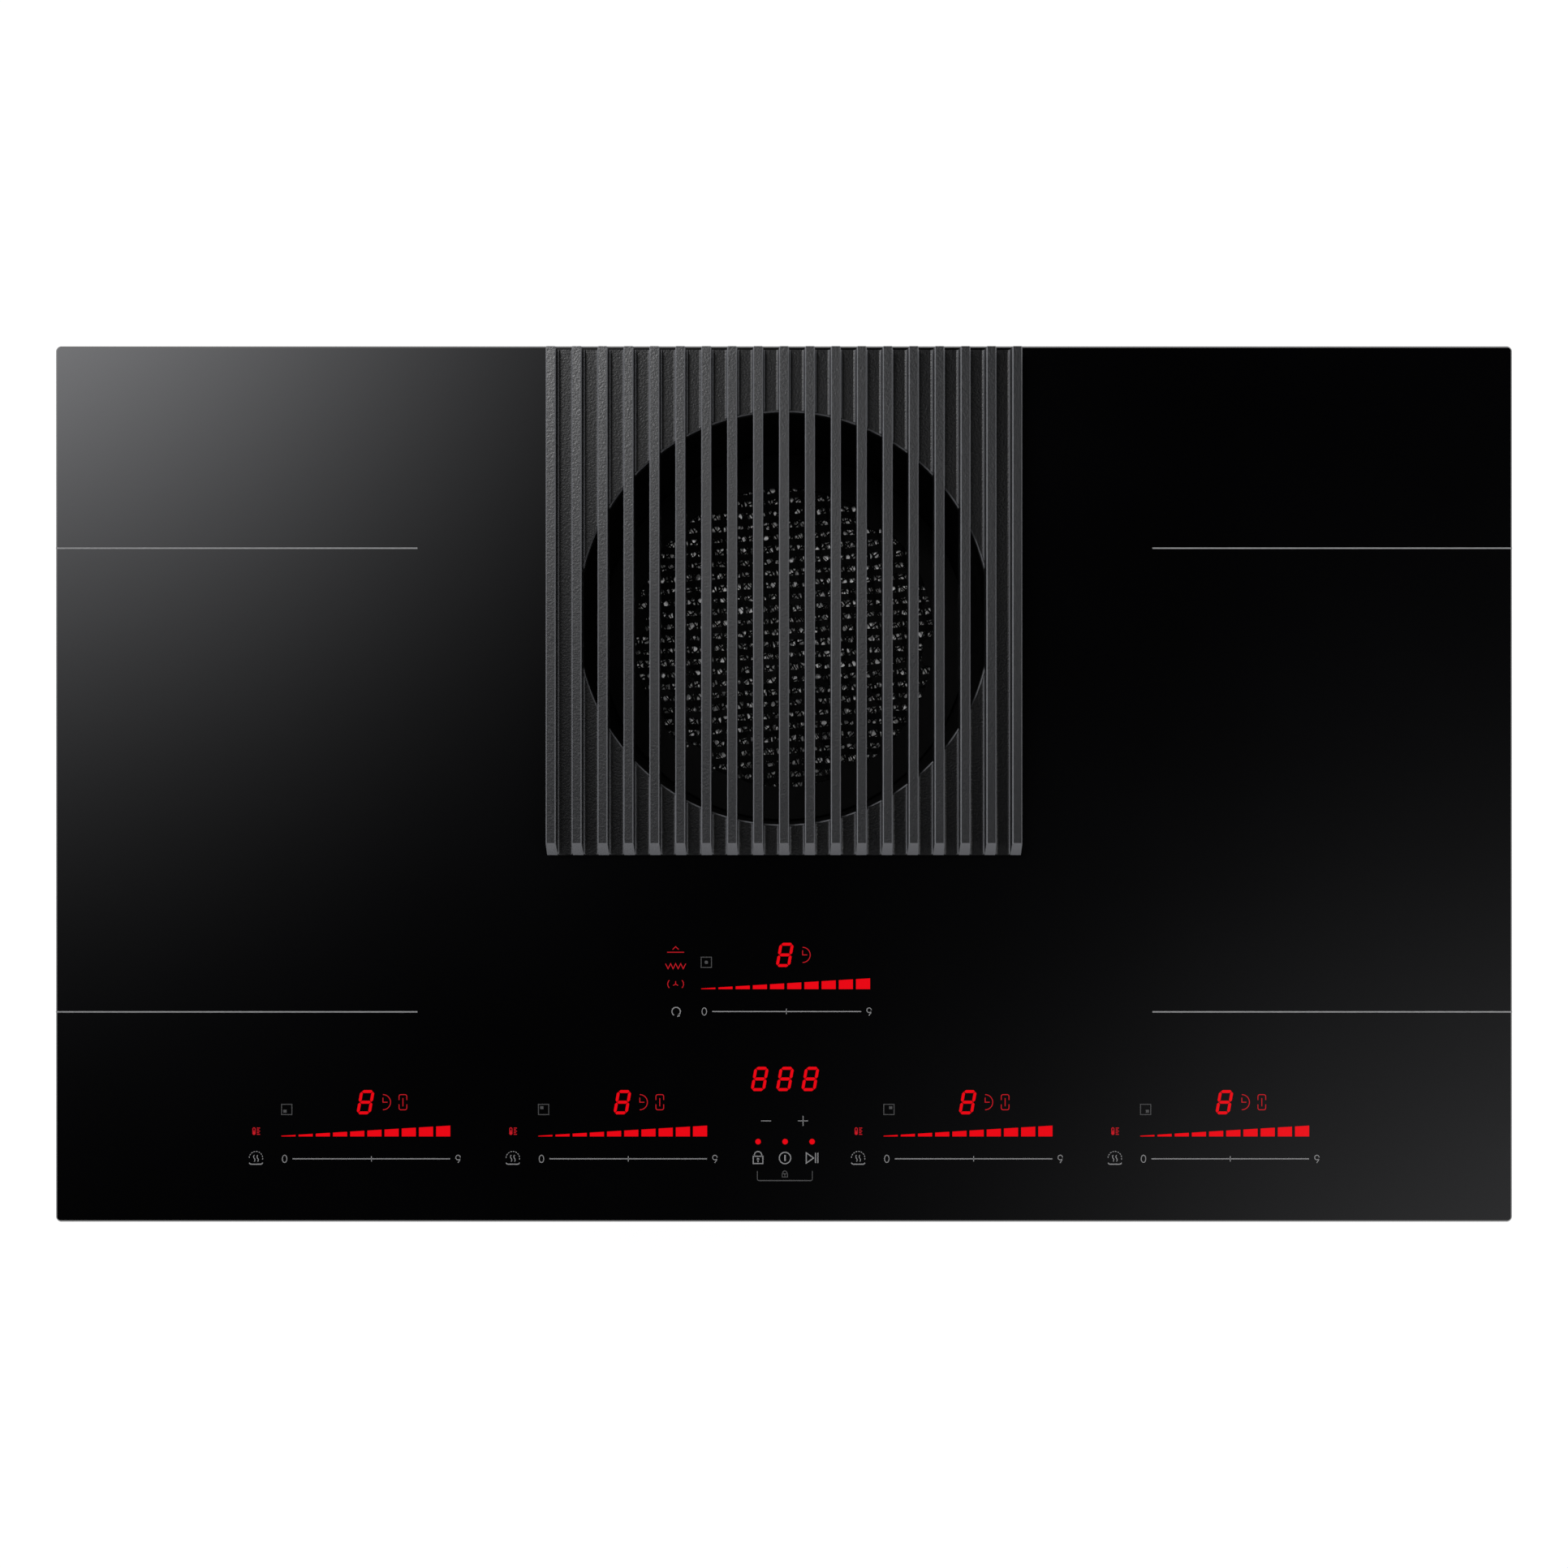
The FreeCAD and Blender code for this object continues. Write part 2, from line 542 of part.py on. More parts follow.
def make_air_box():
    """Moulded sump with a flange, its lid and the screws that join them."""
    body = new_body("sump", y="inlet_y")
    pad(body, sketch(body, "XY", [box_outline("0", "box_corner")]), "box_height")
    flange = box_outline("box_flange", "box_corner + box_flange")
    pad(body, sketch(body, "XY", [flange], "box_height - box_wall"), "box_wall")
    hollow = box_outline("-box_wall", "box_corner - box_wall")
    pocket(body, sketch(body, "XY", [hollow], "box_wall"), "box_height - box_wall")
    eye = circle("axle_y - inlet_y", "axle_z", "ring_outer + ring_gap")
    pocket(body, sketch(body, "YZ", [eye]))
    seat = "tray_radius - tray_rim - tray_draft + tray_gap"
    collar = [circle(0, 0, f"{seat} + box_wall"), circle(0, 0, seat)]
    pad(body, sketch(body, "XY", collar, "box_wall"), "collar_height")
    make_wall_ribs(body)
    node(body, "air_box")
    lid = new_body("lid", y="inlet_y", z="box_height")
    bore = circle(0, 0, "well_outer + pan_hole_gap")
    pad(lid, sketch(lid, "XY", [flange, bore]), "lid_thick")
    node(lid, "air_box_lid")
    heads = []
    side = "box_half + box_flange / 2"
    spots = [(f"-({side})", f"inlet_y {along}")
             for along in ("- lid_screw_front", "- lid_screw_middle", "+ lid_screw_rear")]
    for y in ("inlet_y - box_front - box_flange / 2", "inlet_y + box_rear + box_flange / 2"):
        spots += [(x, y) for x in ("-lid_screw_side", "0", "lid_screw_side")]
    for x, y in spots:
        heads.append(rod(x, y, "box_height - box_wall - head_height", "lid_head", "head_height"))
    group("lid_screws", heads)


def scroll(grow):
    """Outline of the scroll: three quarter arcs that widen, and a straight throat to the rear."""
    start = "wheel_radius + tongue_gap"
    step = "scroll_step / 2"
    small = f"({start} + {step} + {grow})"
    corners = [
        (f"sqrt({small} ^ 2 - ({grow}) ^ 2) - {step}", f"-{step} - {grow}"),
        (f"-{step}", f"-{step} - {small}", small, False),
        (f"-{step} - {small} - scroll_step", step, f"{small} + scroll_step", False),
        (step, f"{step} + scroll_big + {grow}", f"scroll_big + {grow}", False),
        ("outlet_x", f"{step} + scroll_big + {grow}"),
        ("outlet_x", f"-{step} - {grow}"),
    ]
    return corners


def make_blower():
    """Scroll housing on the wall of the air box, with its inlet ring, cover and motor."""
    at = {"x": "box_half", "y": "axle_y", "z": "axle_z", "turn": AXLE}
    housing = new_body("scroll", **at)
    depth = "scroll_wall + scroll_width"
    eye = circle(0, 0, "ring_outer + ring_gap")
    pad(housing, sketch(housing, "XY", [scroll("scroll_wall"), eye]), depth)
    pocket(housing, sketch(housing, "XY", [scroll("0")], "scroll_wall"), "scroll_width")
    node(housing, "blower_housing")
    ring = new_body("bellmouth", **at)
    back = "-box_wall - ring_wall"
    nose = "scroll_wall + wheel_end + ring_overlap"
    revolve(ring, [
        ("ring_outer", back), ("ring_outer + ring_flange", back), ("ring_outer + ring_flange", "-box_wall"),
        ("ring_outer", "-box_wall"), ("ring_outer", nose), ("eye_radius", nose), ("eye_radius", "-box_wall"),
    ])
    node(ring, "inlet_ring")
    cover = new_body("cover", **at)
    shaft_hole = circle(0, 0, "shaft_radius + eye_gap")
    pad(cover, sketch(cover, "XY", [scroll("scroll_wall"), shaft_hole], depth), "cover_thick")
    node(cover, "blower_cover")
    face = "scroll_wall + scroll_width + cover_thick"
    motor = new_body("motor", x=f"box_half + {face}", y="axle_y", z="axle_z", turn=AXLE)
    bore = "shaft_radius + shaft_gap"
    revolve(motor, [
        (bore, 0), ("motor_ring", 0), ("motor_ring", "motor_flange"), ("motor_radius", "motor_flange"),
        ("motor_radius", "motor_length - motor_round"), ("motor_radius - motor_round", "motor_length"),
        (0, "motor_length"), (0, "motor_length - motor_flange"), (bore, "motor_length - motor_flange"),
    ])
    node(motor, "blower_motor")
    heads = []
    seat = f"box_half + {face} + motor_flange"
    reach = "(motor_radius + motor_ring) / 2"
    count = int(value("motor_screws"))
    for i in range(count):
        angle = 2 * math.pi * i / count
        y = f"axle_y - {math.sin(angle):.6f} * {reach}"
        z = f"axle_z + {math.cos(angle):.6f} * {reach}"
        heads.append(rod(seat, y, z, "head_radius", "head_height", AXLE))
    group("motor_screws", heads)


def make_impeller():
    """Drum wheel with forward curved blades, and the shaft that turns it."""
    wheel = new_body("wheel", x="box_half", y="axle_y", z="axle_z", turn=AXLE)
    front = "scroll_wall + wheel_end"
    rear = f"{front} + wheel_width"
    revolve(wheel, [
        ("shaft_radius", f"{rear} - hub_length"), ("hub_radius", f"{rear} - hub_length"),
        ("hub_radius", f"{rear} - disc_thick"), ("wheel_radius", f"{rear} - disc_thick"),
        ("wheel_radius", rear), ("shaft_radius", rear),
    ])
    inner = "wheel_radius - blade_depth"
    tip = "sqrt(wheel_radius ^ 2 - (blade_sweep + blade_thick) ^ 2)"
    # Both faces of a blade bow the same way
    section = [
        (inner, "blade_thick", "blade_bow", False), (inner, 0), (tip, "blade_sweep", "blade_bow", True),
        (tip, "blade_sweep + blade_thick"),
    ]
    blade = pad(wheel, sketch(wheel, "XY", [section], front), "wheel_width - disc_thick / 2")
    in_ring(wheel, blade, "blade_count")
    shroud = [circle(0, 0, "wheel_radius"), circle(0, 0, inner)]
    pad(wheel, sketch(wheel, "XY", shroud, front), "disc_thick")
    node(wheel, "impeller")
    length = "hub_length + wheel_end + cover_thick + motor_length - 2 * motor_flange"
    shaft = rod(f"box_half + {rear} - hub_length", "axle_y", "axle_z", "shaft_radius", length, AXLE)
    node(shaft, "blower_shaft")


def make_duct():
    """Flare from the scroll's throat to a flat duct spigot at the rear."""
    body = new_body("duct", x="box_half", y="axle_y + outlet_x", z="axle_z")
    low, high = "-scroll_step / 2", "scroll_step / 2 + scroll_big"
    wide = "scroll_wall + scroll_width"
    throat = rectangle(0, f"{low} - scroll_wall", f"{wide} + cover_thick", f"{high} + scroll_wall")
    throat_bore = rectangle("scroll_wall", low, wide, high)
    base = "duct_low - axle_z"
    mouth = rectangle("duct_side", base, "duct_side + duct_width", f"{base} + duct_height")
    mouth_bore = rectangle("duct_side + duct_wall", f"{base} + duct_wall",
                           "duct_side + duct_width - duct_wall", f"{base} + duct_height - duct_wall")
    end = "-flare_length"
    flare = body.newObject("PartDesign::AdditiveLoft", "flare")
    flare.Profile = sketch(body, "XZ", [throat])
    flare.Sections = [sketch(body, "XZ", [mouth], end)]
    flare.Ruled = True
    pad(body, sketch(body, "XZ", [mouth], end), "spigot_length", back=True)
    doc.recompute()
    before = body.Shape.Volume
    bore = body.newObject("PartDesign::SubtractiveLoft", "flare_bore")
    bore.Profile = sketch(body, "XZ", [throat_bore])
    bore.Sections = [sketch(body, "XZ", [mouth_bore], end)]
    bore.Ruled = True
    doc.recompute()
    if not body.Shape.Volume < before:
        raise RuntimeError("the flare's bore cuts nothing")
    pocket(body, sketch(body, "XZ", [mouth_bore], end), "spigot_length", forward=False)
    node(body, "outlet_duct")


def make_pan():
    """Sheet steel pan with a flange, a hole for the well and vents."""
    body = new_body("pan", z="lid_top")

    def outline(grow):
        return rounded(f"-(pan_half_x + {grow})", f"-(pan_half_y + {grow})", f"pan_half_x + {grow}",
                       f"pan_half_y + {grow}", f"pan_corner + {grow}")
    pad(body, sketch(body, "XY", [outline("0")]), "pan_depth")
    pad(body, sketch(body, "XY", [outline("pan_flange")], "pan_depth - sheet"), "sheet")
    pocket(body, sketch(body, "XY", [outline("-sheet")], "sheet"), "pan_depth - sheet")
    pocket(body, sketch(body, "XY", [circle(0, "inlet_y", "well_outer + pan_hole_gap")]), both=True)
    first = "fan_y - (vent_count - 1) * vent_pitch / 2 - vent_width / 2"
    for side in ("-1", "1"):
        slot = rectangle(f"{side} * fan_x - vent_length / 2", first, f"{side} * fan_x + vent_length / 2",
                         f"{first} + vent_width")
        cut = pocket(body, sketch(body, "XY", [slot]), both=True)
        in_row(body, cut, "Y", "(vent_count - 1) * vent_pitch", "vent_count")
    start = "-(rear_vent_count - 1) * rear_vent_pitch / 2"
    low = "(pan_depth - rear_vent_height) / 2"
    slot = rectangle(f"{start} - rear_vent_length / 2", low, f"{start} + rear_vent_length / 2",
                     f"{low} + rear_vent_height")
    cut = pocket(body, sketch(body, "XZ", [slot]), forward=False)
    in_row(body, cut, "X", "(rear_vent_count - 1) * rear_vent_pitch", "rear_vent_count")
    node(body, "base_pan")


def make_brackets():
    """Angle brackets on the side walls, each with a hole for a clamp screw."""
    pieces = []
    for side, turn in ((-1, 180), (1, 0)):
        for along in (-1, 1):
            rotation = FreeCAD.Rotation(FreeCAD.Vector(0, 0, 1), turn)
            y = f"{along} * bracket_span / 2"
            body = new_body("bracket", f"{side} * pan_half_x", y, "bracket_z", rotation)
            angle = [
                (0, 0), ("bracket_foot", 0), ("bracket_foot", "bracket_thick"),
                ("bracket_thick", "bracket_thick"), ("bracket_thick", "bracket_leg"), (0, "bracket_leg"),
            ]
            pad(body, sketch(body, "XZ", [angle]), "bracket_width", both=True)
            hole = circle("(bracket_foot + bracket_thick) / 2", 0, "bracket_hole")
            pocket(body, sketch(body, "XY", [hole]), "bracket_leg")
            pieces.append(body)
    group("worktop_brackets", pieces)


def make_coils():
    """Two coils on each side, on a plate that posts hold up under the glass."""
    sensors, posts = [], []
    for side, word in ((-1, "left"), (1, "right")):
        x = f"{side} * coil_x"
        middle = "(coil_front_y + coil_rear_y) / 2"
        span = "coil_rear_y - coil_front_y + 2 * coil_radius"
        node(block(x, middle, "coil_plate_low", "2 * coil_radius", span, "coil_plate"), f"coil_plate_{word}")
        node(block(x, middle, "mica_low", "2 * coil_radius", span, "mica_thick"), f"mica_sheet_{word}")
        bars = []
        for row in ("front", "rear"):
            y = f"coil_{row}_y"
            bars += make_coil(x, y, f"{row}_{word}")
            sensors.append(rod(x, y, "former_low", "sensor_radius", "former_thick + winding_thick"))
        group(f"ferrite_bars_{word}", bars)
        reach = "(coil_radius - post_inset)"
        for dx in (-1, 1):
            for end, sign in (("front", -1), ("rear", 1)):
                posts.append(rod(f"{x} + {dx} * {reach}", f"coil_{end}_y + {sign} * {reach}", "pan_floor",
                                 "post_radius", "coil_plate_low - pan_floor"))
    group("heat_sensors", sensors)
    group("plate_posts", posts)


def make_coil(x, y, word):
    """Former with a rim and pockets, its winding, and the ferrite bars in the pockets."""
    former = new_body("former", x, y, "former_low")
    top = "former_thick + winding_thick"
    rim = "coil_radius - former_rim"
    revolve(former, [
        ("sensor_radius + mesh_gap", 0), ("coil_radius", 0), ("coil_radius", top), (rim, top),
        (rim, "former_thick"), ("coil_core", "former_thick"), ("coil_core", top),
        ("sensor_radius + mesh_gap", top),
    ])
    near, far = "coil_core + former_rim", f"{rim} - former_rim"
    slot = rectangle(near, "-ferrite_width / 2", far, "ferrite_width / 2")
    cut = pocket(former, sketch(former, "XY", [slot]), "ferrite_thick")
    in_ring(former, cut, "ferrite_count")
    node(former, f"coil_former_{word}")
    winding = new_body("winding", x, y, "winding_low")
    turns = [circle(0, 0, f"{rim} - mesh_gap"), circle(0, 0, "coil_core + mesh_gap")]
    pad(winding, sketch(winding, "XY", turns), "winding_thick")
    node(winding, f"coil_winding_{word}")
    bars = []
    count = int(value("ferrite_count"))
    for i in range(count):
        angle = 360 * i / count
        c, s = (f"{f(math.radians(angle)):.9f}" for f in (math.cos, math.sin))
        bar = doc.addObject("Part::Box", "Bar")
        bind(bar, Length=f"{far} - ({near})", Width="ferrite_width", Height="ferrite_thick")
        corner_x = f"{x} + {c} * ({near}) + {s} * ferrite_width / 2"
        corner_y = f"{y} + {s} * ({near}) - {c} * ferrite_width / 2"
        place(bar, corner_x, corner_y, "former_low", FreeCAD.Rotation(FreeCAD.Vector(0, 0, 1), angle))
        bars.append(bar)
    return bars


def make_power():
    """Power boards on posts, with their heat sinks, capacitors and chokes."""
    posts = []
    for side, word in ((-1, "left"), (1, "right")):
        x = f"{side} * board_x"
        board = block(x, "board_y", "board_low", "board_width", "board_depth", "board_thick")
        node(board, f"power_board_{word}")
        for dx in (-1, 1):
            for dy in (-1, 1):
                posts.append(rod(f"{x} + {dx} * (board_width / 2 - post_inset)",
                                 f"board_y + {dy} * (board_depth / 2 - post_inset)", "pan_floor",
                                 "post_radius", "board_lift"))
        sink = new_body("sink", x, "board_y", "board_top")
        half, deep = "sink_width / 2", "sink_depth / 2"
        pad(sink, sketch(sink, "XY", [rectangle(f"-{half}", f"-{deep}", half, deep)]), "sink_base")
        fin = rectangle(f"-{half}", f"-{deep}", f"fin_thick - {half}", deep)
        one = pad(sink, sketch(sink, "XY", [fin]), "sink_height")
        in_row(sink, one, "X", "sink_width - fin_thick", "fin_count")
        node(sink, f"heat_sink_{word}")
        parts = []
        for i in (-1, 0, 1):
            y = f"board_y + {i} * cap_pitch"
            parts.append(rod(f"{x} + cap_x", y, "board_top", "cap_radius", "cap_height"))
        for i in (-1, 1):
            parts.append(block(f"{x} - choke_x", f"board_y + {i} * choke_pitch / 2", "board_top",
                               "choke_size", "choke_size", "choke_height"))
        group(f"board_parts_{word}", parts)
    group("board_posts", posts)


def make_fans():
    """Axial cooling fans over the vents in the pan's floor."""
    for side, word in ((-1, "left"), (1, "right")):
        at = {"x": f"{side} * fan_x", "y": "fan_y", "z": "pan_floor"}
        half = "fan_size / 2"
        case = new_body("fancase", **at)
        square = rounded(f"-{half}", f"-{half}", half, half, "fan_strut")
        pad(case, sketch(case, "XY", [square, circle(0, 0, "fan_bore")]), "fan_height")
        arm, wide = "fan_bore + fan_gap", "fan_strut / 2"
        pad(case, sketch(case, "XY", [rectangle(f"-({arm})", f"-{wide}", arm, wide)]), "fan_base")
        pad(case, sketch(case, "XY", [rectangle(f"-{wide}", f"-({arm})", wide, arm)]), "fan_base")
        pad(case, sketch(case, "XY", [circle(0, 0, "fan_hub")]), "fan_base")
        pad(case, sketch(case, "XY", [circle(0, 0, "fan_spindle")]), "fan_height - 2 * fan_gap")
        node(case, f"cooling_fan_frame_{word}")
        rotor = new_body("rotor", **at)
        low, high = "fan_base + fan_gap", "fan_height - fan_gap"
        bore = "fan_spindle + shaft_gap"
        revolve(rotor, [(bore, low), ("fan_hub", low), ("fan_hub", high), (bore, high)])
        vane = [
            ("-vane_half", f"{low} + fan_gap"), ("fan_gap - vane_half", f"{low} + fan_gap"),
            ("vane_half", f"{high} - fan_gap"), ("vane_half - fan_gap", f"{high} - fan_gap"),
        ]
        reach = "fan_bore - 3 * fan_gap - vane_root"
        blade = pad(rotor, sketch(rotor, "XZ", [vane], "-vane_root"), reach, back=True)
        in_ring(rotor, blade, "fan_blades")
        node(rotor, f"cooling_fan_rotor_{word}")


def make_controls():
    """Trays bonded under the glass, with a board and its light modules in each."""
    trays = (("control", "0", "control_y", "control_width", "control_depth"),
             ("extractor", "0", "extractor_y", "extractor_width", "extractor_depth"))
    for word, x, y, wide, deep in trays:
        tray = new_body(word + "_tray", x, y, "control_low")
        half_x, half_y = f"{wide} / 2", f"{deep} / 2"
        outline = rectangle(f"-({half_x})", f"-({half_y})", half_x, half_y)
        pad(tray, sketch(tray, "XY", [outline]), "control_height")
        in_x, in_y = f"({half_x} - control_wall)", f"({half_y} - control_wall)"
        hollow = rectangle(f"-{in_x}", f"-{in_y}", in_x, in_y)
        pocket(tray, sketch(tray, "XY", [hollow], "control_wall"), "control_height - control_wall")
        node(tray, f"{word}_carrier")
        node(block(x, y, "control_low + control_wall", f"2 * {in_x} - mesh_gap", f"2 * {in_y} - mesh_gap",
                   "board_thick"), f"{word}_board")
    lamp = "control_low + control_wall + board_thick"
    size = ("display_width", "display_depth", "display_lift")
    row = []
    for jump in ("0", "1"):
        for step in ("0", "1"):
            x = f"-zone_first + {jump} * zone_jump + {step} * zone_pitch"
            row.append(block(x, "control_y + zone_shift", lamp, *size))
    for i in (-1, 0, 1):
        row.append(block(f"{i} * timer_pitch", "control_y + timer_shift", lamp, *size))
    group("control_displays", row)
    node(block("0", "extractor_lamp", lamp, *size), "extractor_display")


def make_terminals():
    """Mains terminals under the pan at the rear, their cover and the cable gland."""
    x, y = "-terminal_x", "terminal_y"
    strip = block(x, y, "lid_top - block_height", "block_width", "block_depth", "block_height")
    node(strip, "terminal_block")
    cover = new_body("cap", x, y, "lid_top - cover_height")
    half_x, half_y = "cover_width / 2", "cover_depth / 2"
    pad(cover, sketch(cover, "XY", [rounded(f"-{half_x}", f"-{half_y}", half_x, half_y, "2 * cover_wall")]),
        "cover_height")
    in_x, in_y = f"({half_x} - cover_wall)", f"({half_y} - cover_wall)"
    hollow = rounded(f"-{in_x}", f"-{in_y}", in_x, in_y, "cover_wall")
    pocket(cover, sketch(cover, "XY", [hollow], "cover_wall"), "cover_height - cover_wall")
    pocket(cover, sketch(cover, "XZ", [circle(0, "gland_low", "gland_radius + mesh_gap")]), forward=False)
    node(cover, "terminal_cover")
    gland = new_body("gland", x, f"{y} + {half_y}", "lid_top - cover_height + gland_low", REARWARD)
    revolve(gland, [
        ("gland_bore", "-cover_wall"), ("gland_radius", "-cover_wall"), ("gland_radius", 0),
        ("gland_nut", 0), ("gland_nut", "gland_nut_length"), ("gland_radius", "gland_nut_length"),
        ("gland_radius", "gland_length"), ("gland_bore", "gland_length"),
    ])
    node(gland, "cable_gland")


def export():
    """Check every object, then write one file for each node."""
    doc.recompute()
    for thing in doc.Objects:
        if "Invalid" in thing.State or "Error" in thing.State:
            raise RuntimeError(f"{thing.Name} ({thing.Label}) failed: {thing.State}")
    for thing in nodes:
        if thing.Shape.isNull() or not thing.Shape.isValid():
            raise RuntimeError(thing.Label + " has no valid shape")
    os.makedirs("parts", exist_ok=True)
    for thing in nodes:
        thing.Shape.exportStep(f"parts/{thing.Label}.step")
    print(len(nodes), "nodes")


make_glass()
make_seals()
make_grille()
make_well()
make_filter()
make_tray()
make_air_box()
make_blower()
make_impeller()
make_duct()
make_pan()
make_brackets()
make_coils()
make_power()
make_fans()
make_controls()
make_terminals()
export()
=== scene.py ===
"""Looks of a built-in induction hob with an extractor in the middle."""
import bmesh
import bpy
import json
import math
import random
from mathutils import Matrix, Vector


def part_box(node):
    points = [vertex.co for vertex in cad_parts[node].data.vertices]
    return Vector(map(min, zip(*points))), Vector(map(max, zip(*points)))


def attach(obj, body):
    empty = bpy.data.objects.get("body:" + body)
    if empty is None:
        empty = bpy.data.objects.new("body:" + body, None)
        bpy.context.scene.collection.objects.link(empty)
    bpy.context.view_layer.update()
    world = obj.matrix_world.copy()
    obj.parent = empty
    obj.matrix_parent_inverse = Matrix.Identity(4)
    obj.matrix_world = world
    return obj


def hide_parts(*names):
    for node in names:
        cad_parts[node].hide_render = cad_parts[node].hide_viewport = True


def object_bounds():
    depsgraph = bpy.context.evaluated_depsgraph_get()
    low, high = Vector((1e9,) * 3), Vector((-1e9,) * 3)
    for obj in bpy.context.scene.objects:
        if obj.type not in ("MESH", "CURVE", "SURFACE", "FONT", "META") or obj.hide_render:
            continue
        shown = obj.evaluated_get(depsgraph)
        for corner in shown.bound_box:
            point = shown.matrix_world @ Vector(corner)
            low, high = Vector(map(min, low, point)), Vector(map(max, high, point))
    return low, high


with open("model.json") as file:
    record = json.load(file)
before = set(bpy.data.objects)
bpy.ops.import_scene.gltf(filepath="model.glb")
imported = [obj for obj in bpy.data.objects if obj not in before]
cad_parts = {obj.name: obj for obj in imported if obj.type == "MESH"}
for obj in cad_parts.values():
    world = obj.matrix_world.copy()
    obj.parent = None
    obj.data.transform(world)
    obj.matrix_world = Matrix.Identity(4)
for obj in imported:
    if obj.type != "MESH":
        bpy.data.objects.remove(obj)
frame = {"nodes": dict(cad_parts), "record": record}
cad_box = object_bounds()
nodes = frame["nodes"]
MM = 0.001

# Places that the frame gives
GLASS_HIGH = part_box("glass_top")[1]
GLASS_Z = GLASS_HIGH.z
WELL_LOW, WELL_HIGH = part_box("filter_well")
INLET_Y = (WELL_LOW.y + WELL_HIGH.y) / 2

# Camera, which looks straight down on the middle of the glass
CAMERA_HEIGHT, CLIP_START = 0.827, 0.01
LENS, SENSOR = 32, 36

# World light by direction: pale round the horizon, most to the left and front, dark overhead,
# with a soft lobe at the rear left and a weaker one at the front right
HORIZON, HORIZON_GAIN = 0.56, 0.5
HORIZON_WAY = Vector((-0.8, -0.6, 0.0))
HORIZON_FROM, HORIZON_TO = 0.45, 0.80
SKY_TINT = (0.985, 0.99, 1.025, 1.0)
KEY_WAY, KEY_SHARPNESS, KEY_LIGHT = Vector((-0.54, 0.455, 0.707)), 24.7, 6.65
FILL_WAY, FILL_SHARPNESS, FILL_LIGHT = Vector((0.54, -0.455, 0.707)), 20.0, 0.84
# Soft boxes, each where the glass doesn't mirror it to the camera: place, size and power
SOFT_BOXES = {
    "top_box": ((0.03, 0.31, 1.4), (0.38, 0.44), 0.6),
    "rear_box": ((-0.64, 1.00, 1.65), (0.30, 0.30), 7.7),
    "side_box": ((1.42, -0.50, 1.45), (0.40, 0.40), 9.1),
}

# Floor: size, gap under the part, tones, and its white glow to the eye with the share of it
FLOOR_SIZE, FLOOR_GAP = 14.0, 0.0005
FLOOR_TONES, FLOOR_ROUGHNESS, FLOOR_PATCH = (0.86, 0.90), 0.9, 3.0
FLOOR_GLOW, FLOOR_GLOW_SHARE = 1.08, 0.88

# Finishes with a grain: the two ends of the colour and of the roughness, and what isn't usual
FINISHES = {
    "black_glass": dict(low=(0.0006, 0.0006, 0.0007), high=(0.0011, 0.0011, 0.0013),
                        roughness=(0.025, 0.05), patch=6, grain=60, strength=0.004, depth=0.001,
                        shine=0.7),
    "silicone": dict(low=0.02, high=0.03, roughness=(0.6, 0.7)),
    "foam": dict(low=0.015, high=0.03, roughness=(0.85, 0.95), patch=600, grain=1200,
                 strength=0.8),
    "filter_steel": dict(low=0.0031, high=0.0050, roughness=(0.45, 0.55), grain=1800, shine=0.11),
    "well_black": dict(low=0.0049, high=0.0070, roughness=(0.5, 0.6), grain=2600, shine=0.17),
    "filter_net": dict(low=0.84, high=0.95, roughness=(0.26, 0.40), metallic=1.0, patch=300,
                       grain=900),
    "net_black": dict(low=0.0021, high=0.0042, roughness=(0.5, 0.6), patch=400, shine=0.14),
    "black_plastic": dict(low=0.012, high=0.017, roughness=(0.45, 0.55), grain=3200),
    "tray_plastic": dict(low=0.040, high=0.052, roughness=(0.42, 0.5), grain=2600),
    "wheel_plastic": dict(low=0.022, high=0.030, roughness=(0.4, 0.5), patch=200),
    "white_plastic": dict(low=(0.62, 0.62, 0.60), high=(0.70, 0.70, 0.68), roughness=(0.4, 0.5)),
    "former_plastic": dict(low=(0.62, 0.60, 0.55), high=(0.70, 0.68, 0.63), roughness=(0.5, 0.6)),
    "bright_steel": dict(low=0.52, high=0.66, roughness=(0.22, 0.34), metallic=1.0, patch=120),
    "motor_can": dict(low=0.03, high=0.04, roughness=(0.32, 0.4), grain=2200),
    "coil_metal": dict(low=0.60, high=0.70, roughness=(0.3, 0.4), metallic=1.0,
                       stretch=(1, 12, 1)),
    "sink_metal": dict(low=0.58, high=0.70, roughness=(0.3, 0.4), metallic=1.0,
                       stretch=(20, 1, 1)),
    "copper_wire": dict(low=(0.50, 0.20, 0.09), high=(0.66, 0.32, 0.16), roughness=(0.3, 0.4),
                        metallic=1.0, patch=300),
    "ferrite": dict(low=0.03, high=0.05, roughness=(0.5, 0.65), patch=400),
    "mica": dict(low=(0.56, 0.52, 0.42), high=(0.70, 0.66, 0.56), roughness=(0.4, 0.6), patch=150),
    "board_green": dict(low=(0.015, 0.10, 0.04), high=(0.025, 0.14, 0.06), roughness=(0.3, 0.4),
                        patch=250),
    "parts_dark": dict(low=(0.02, 0.02, 0.03), high=(0.04, 0.04, 0.05), roughness=(0.25, 0.35)),
    "lamp_module": dict(low=(0.05, 0.004, 0.004), high=(0.08, 0.006, 0.006), roughness=(0.3, 0.4)),
    "print_grey": dict(low=0.20, high=0.25, roughness=(0.45, 0.55), patch=800, shine=0.28),
    "print_dark": dict(low=0.053, high=0.070, roughness=(0.45, 0.55), patch=800, shine=0.28),
}
GRAIN_DETAIL = 3.0
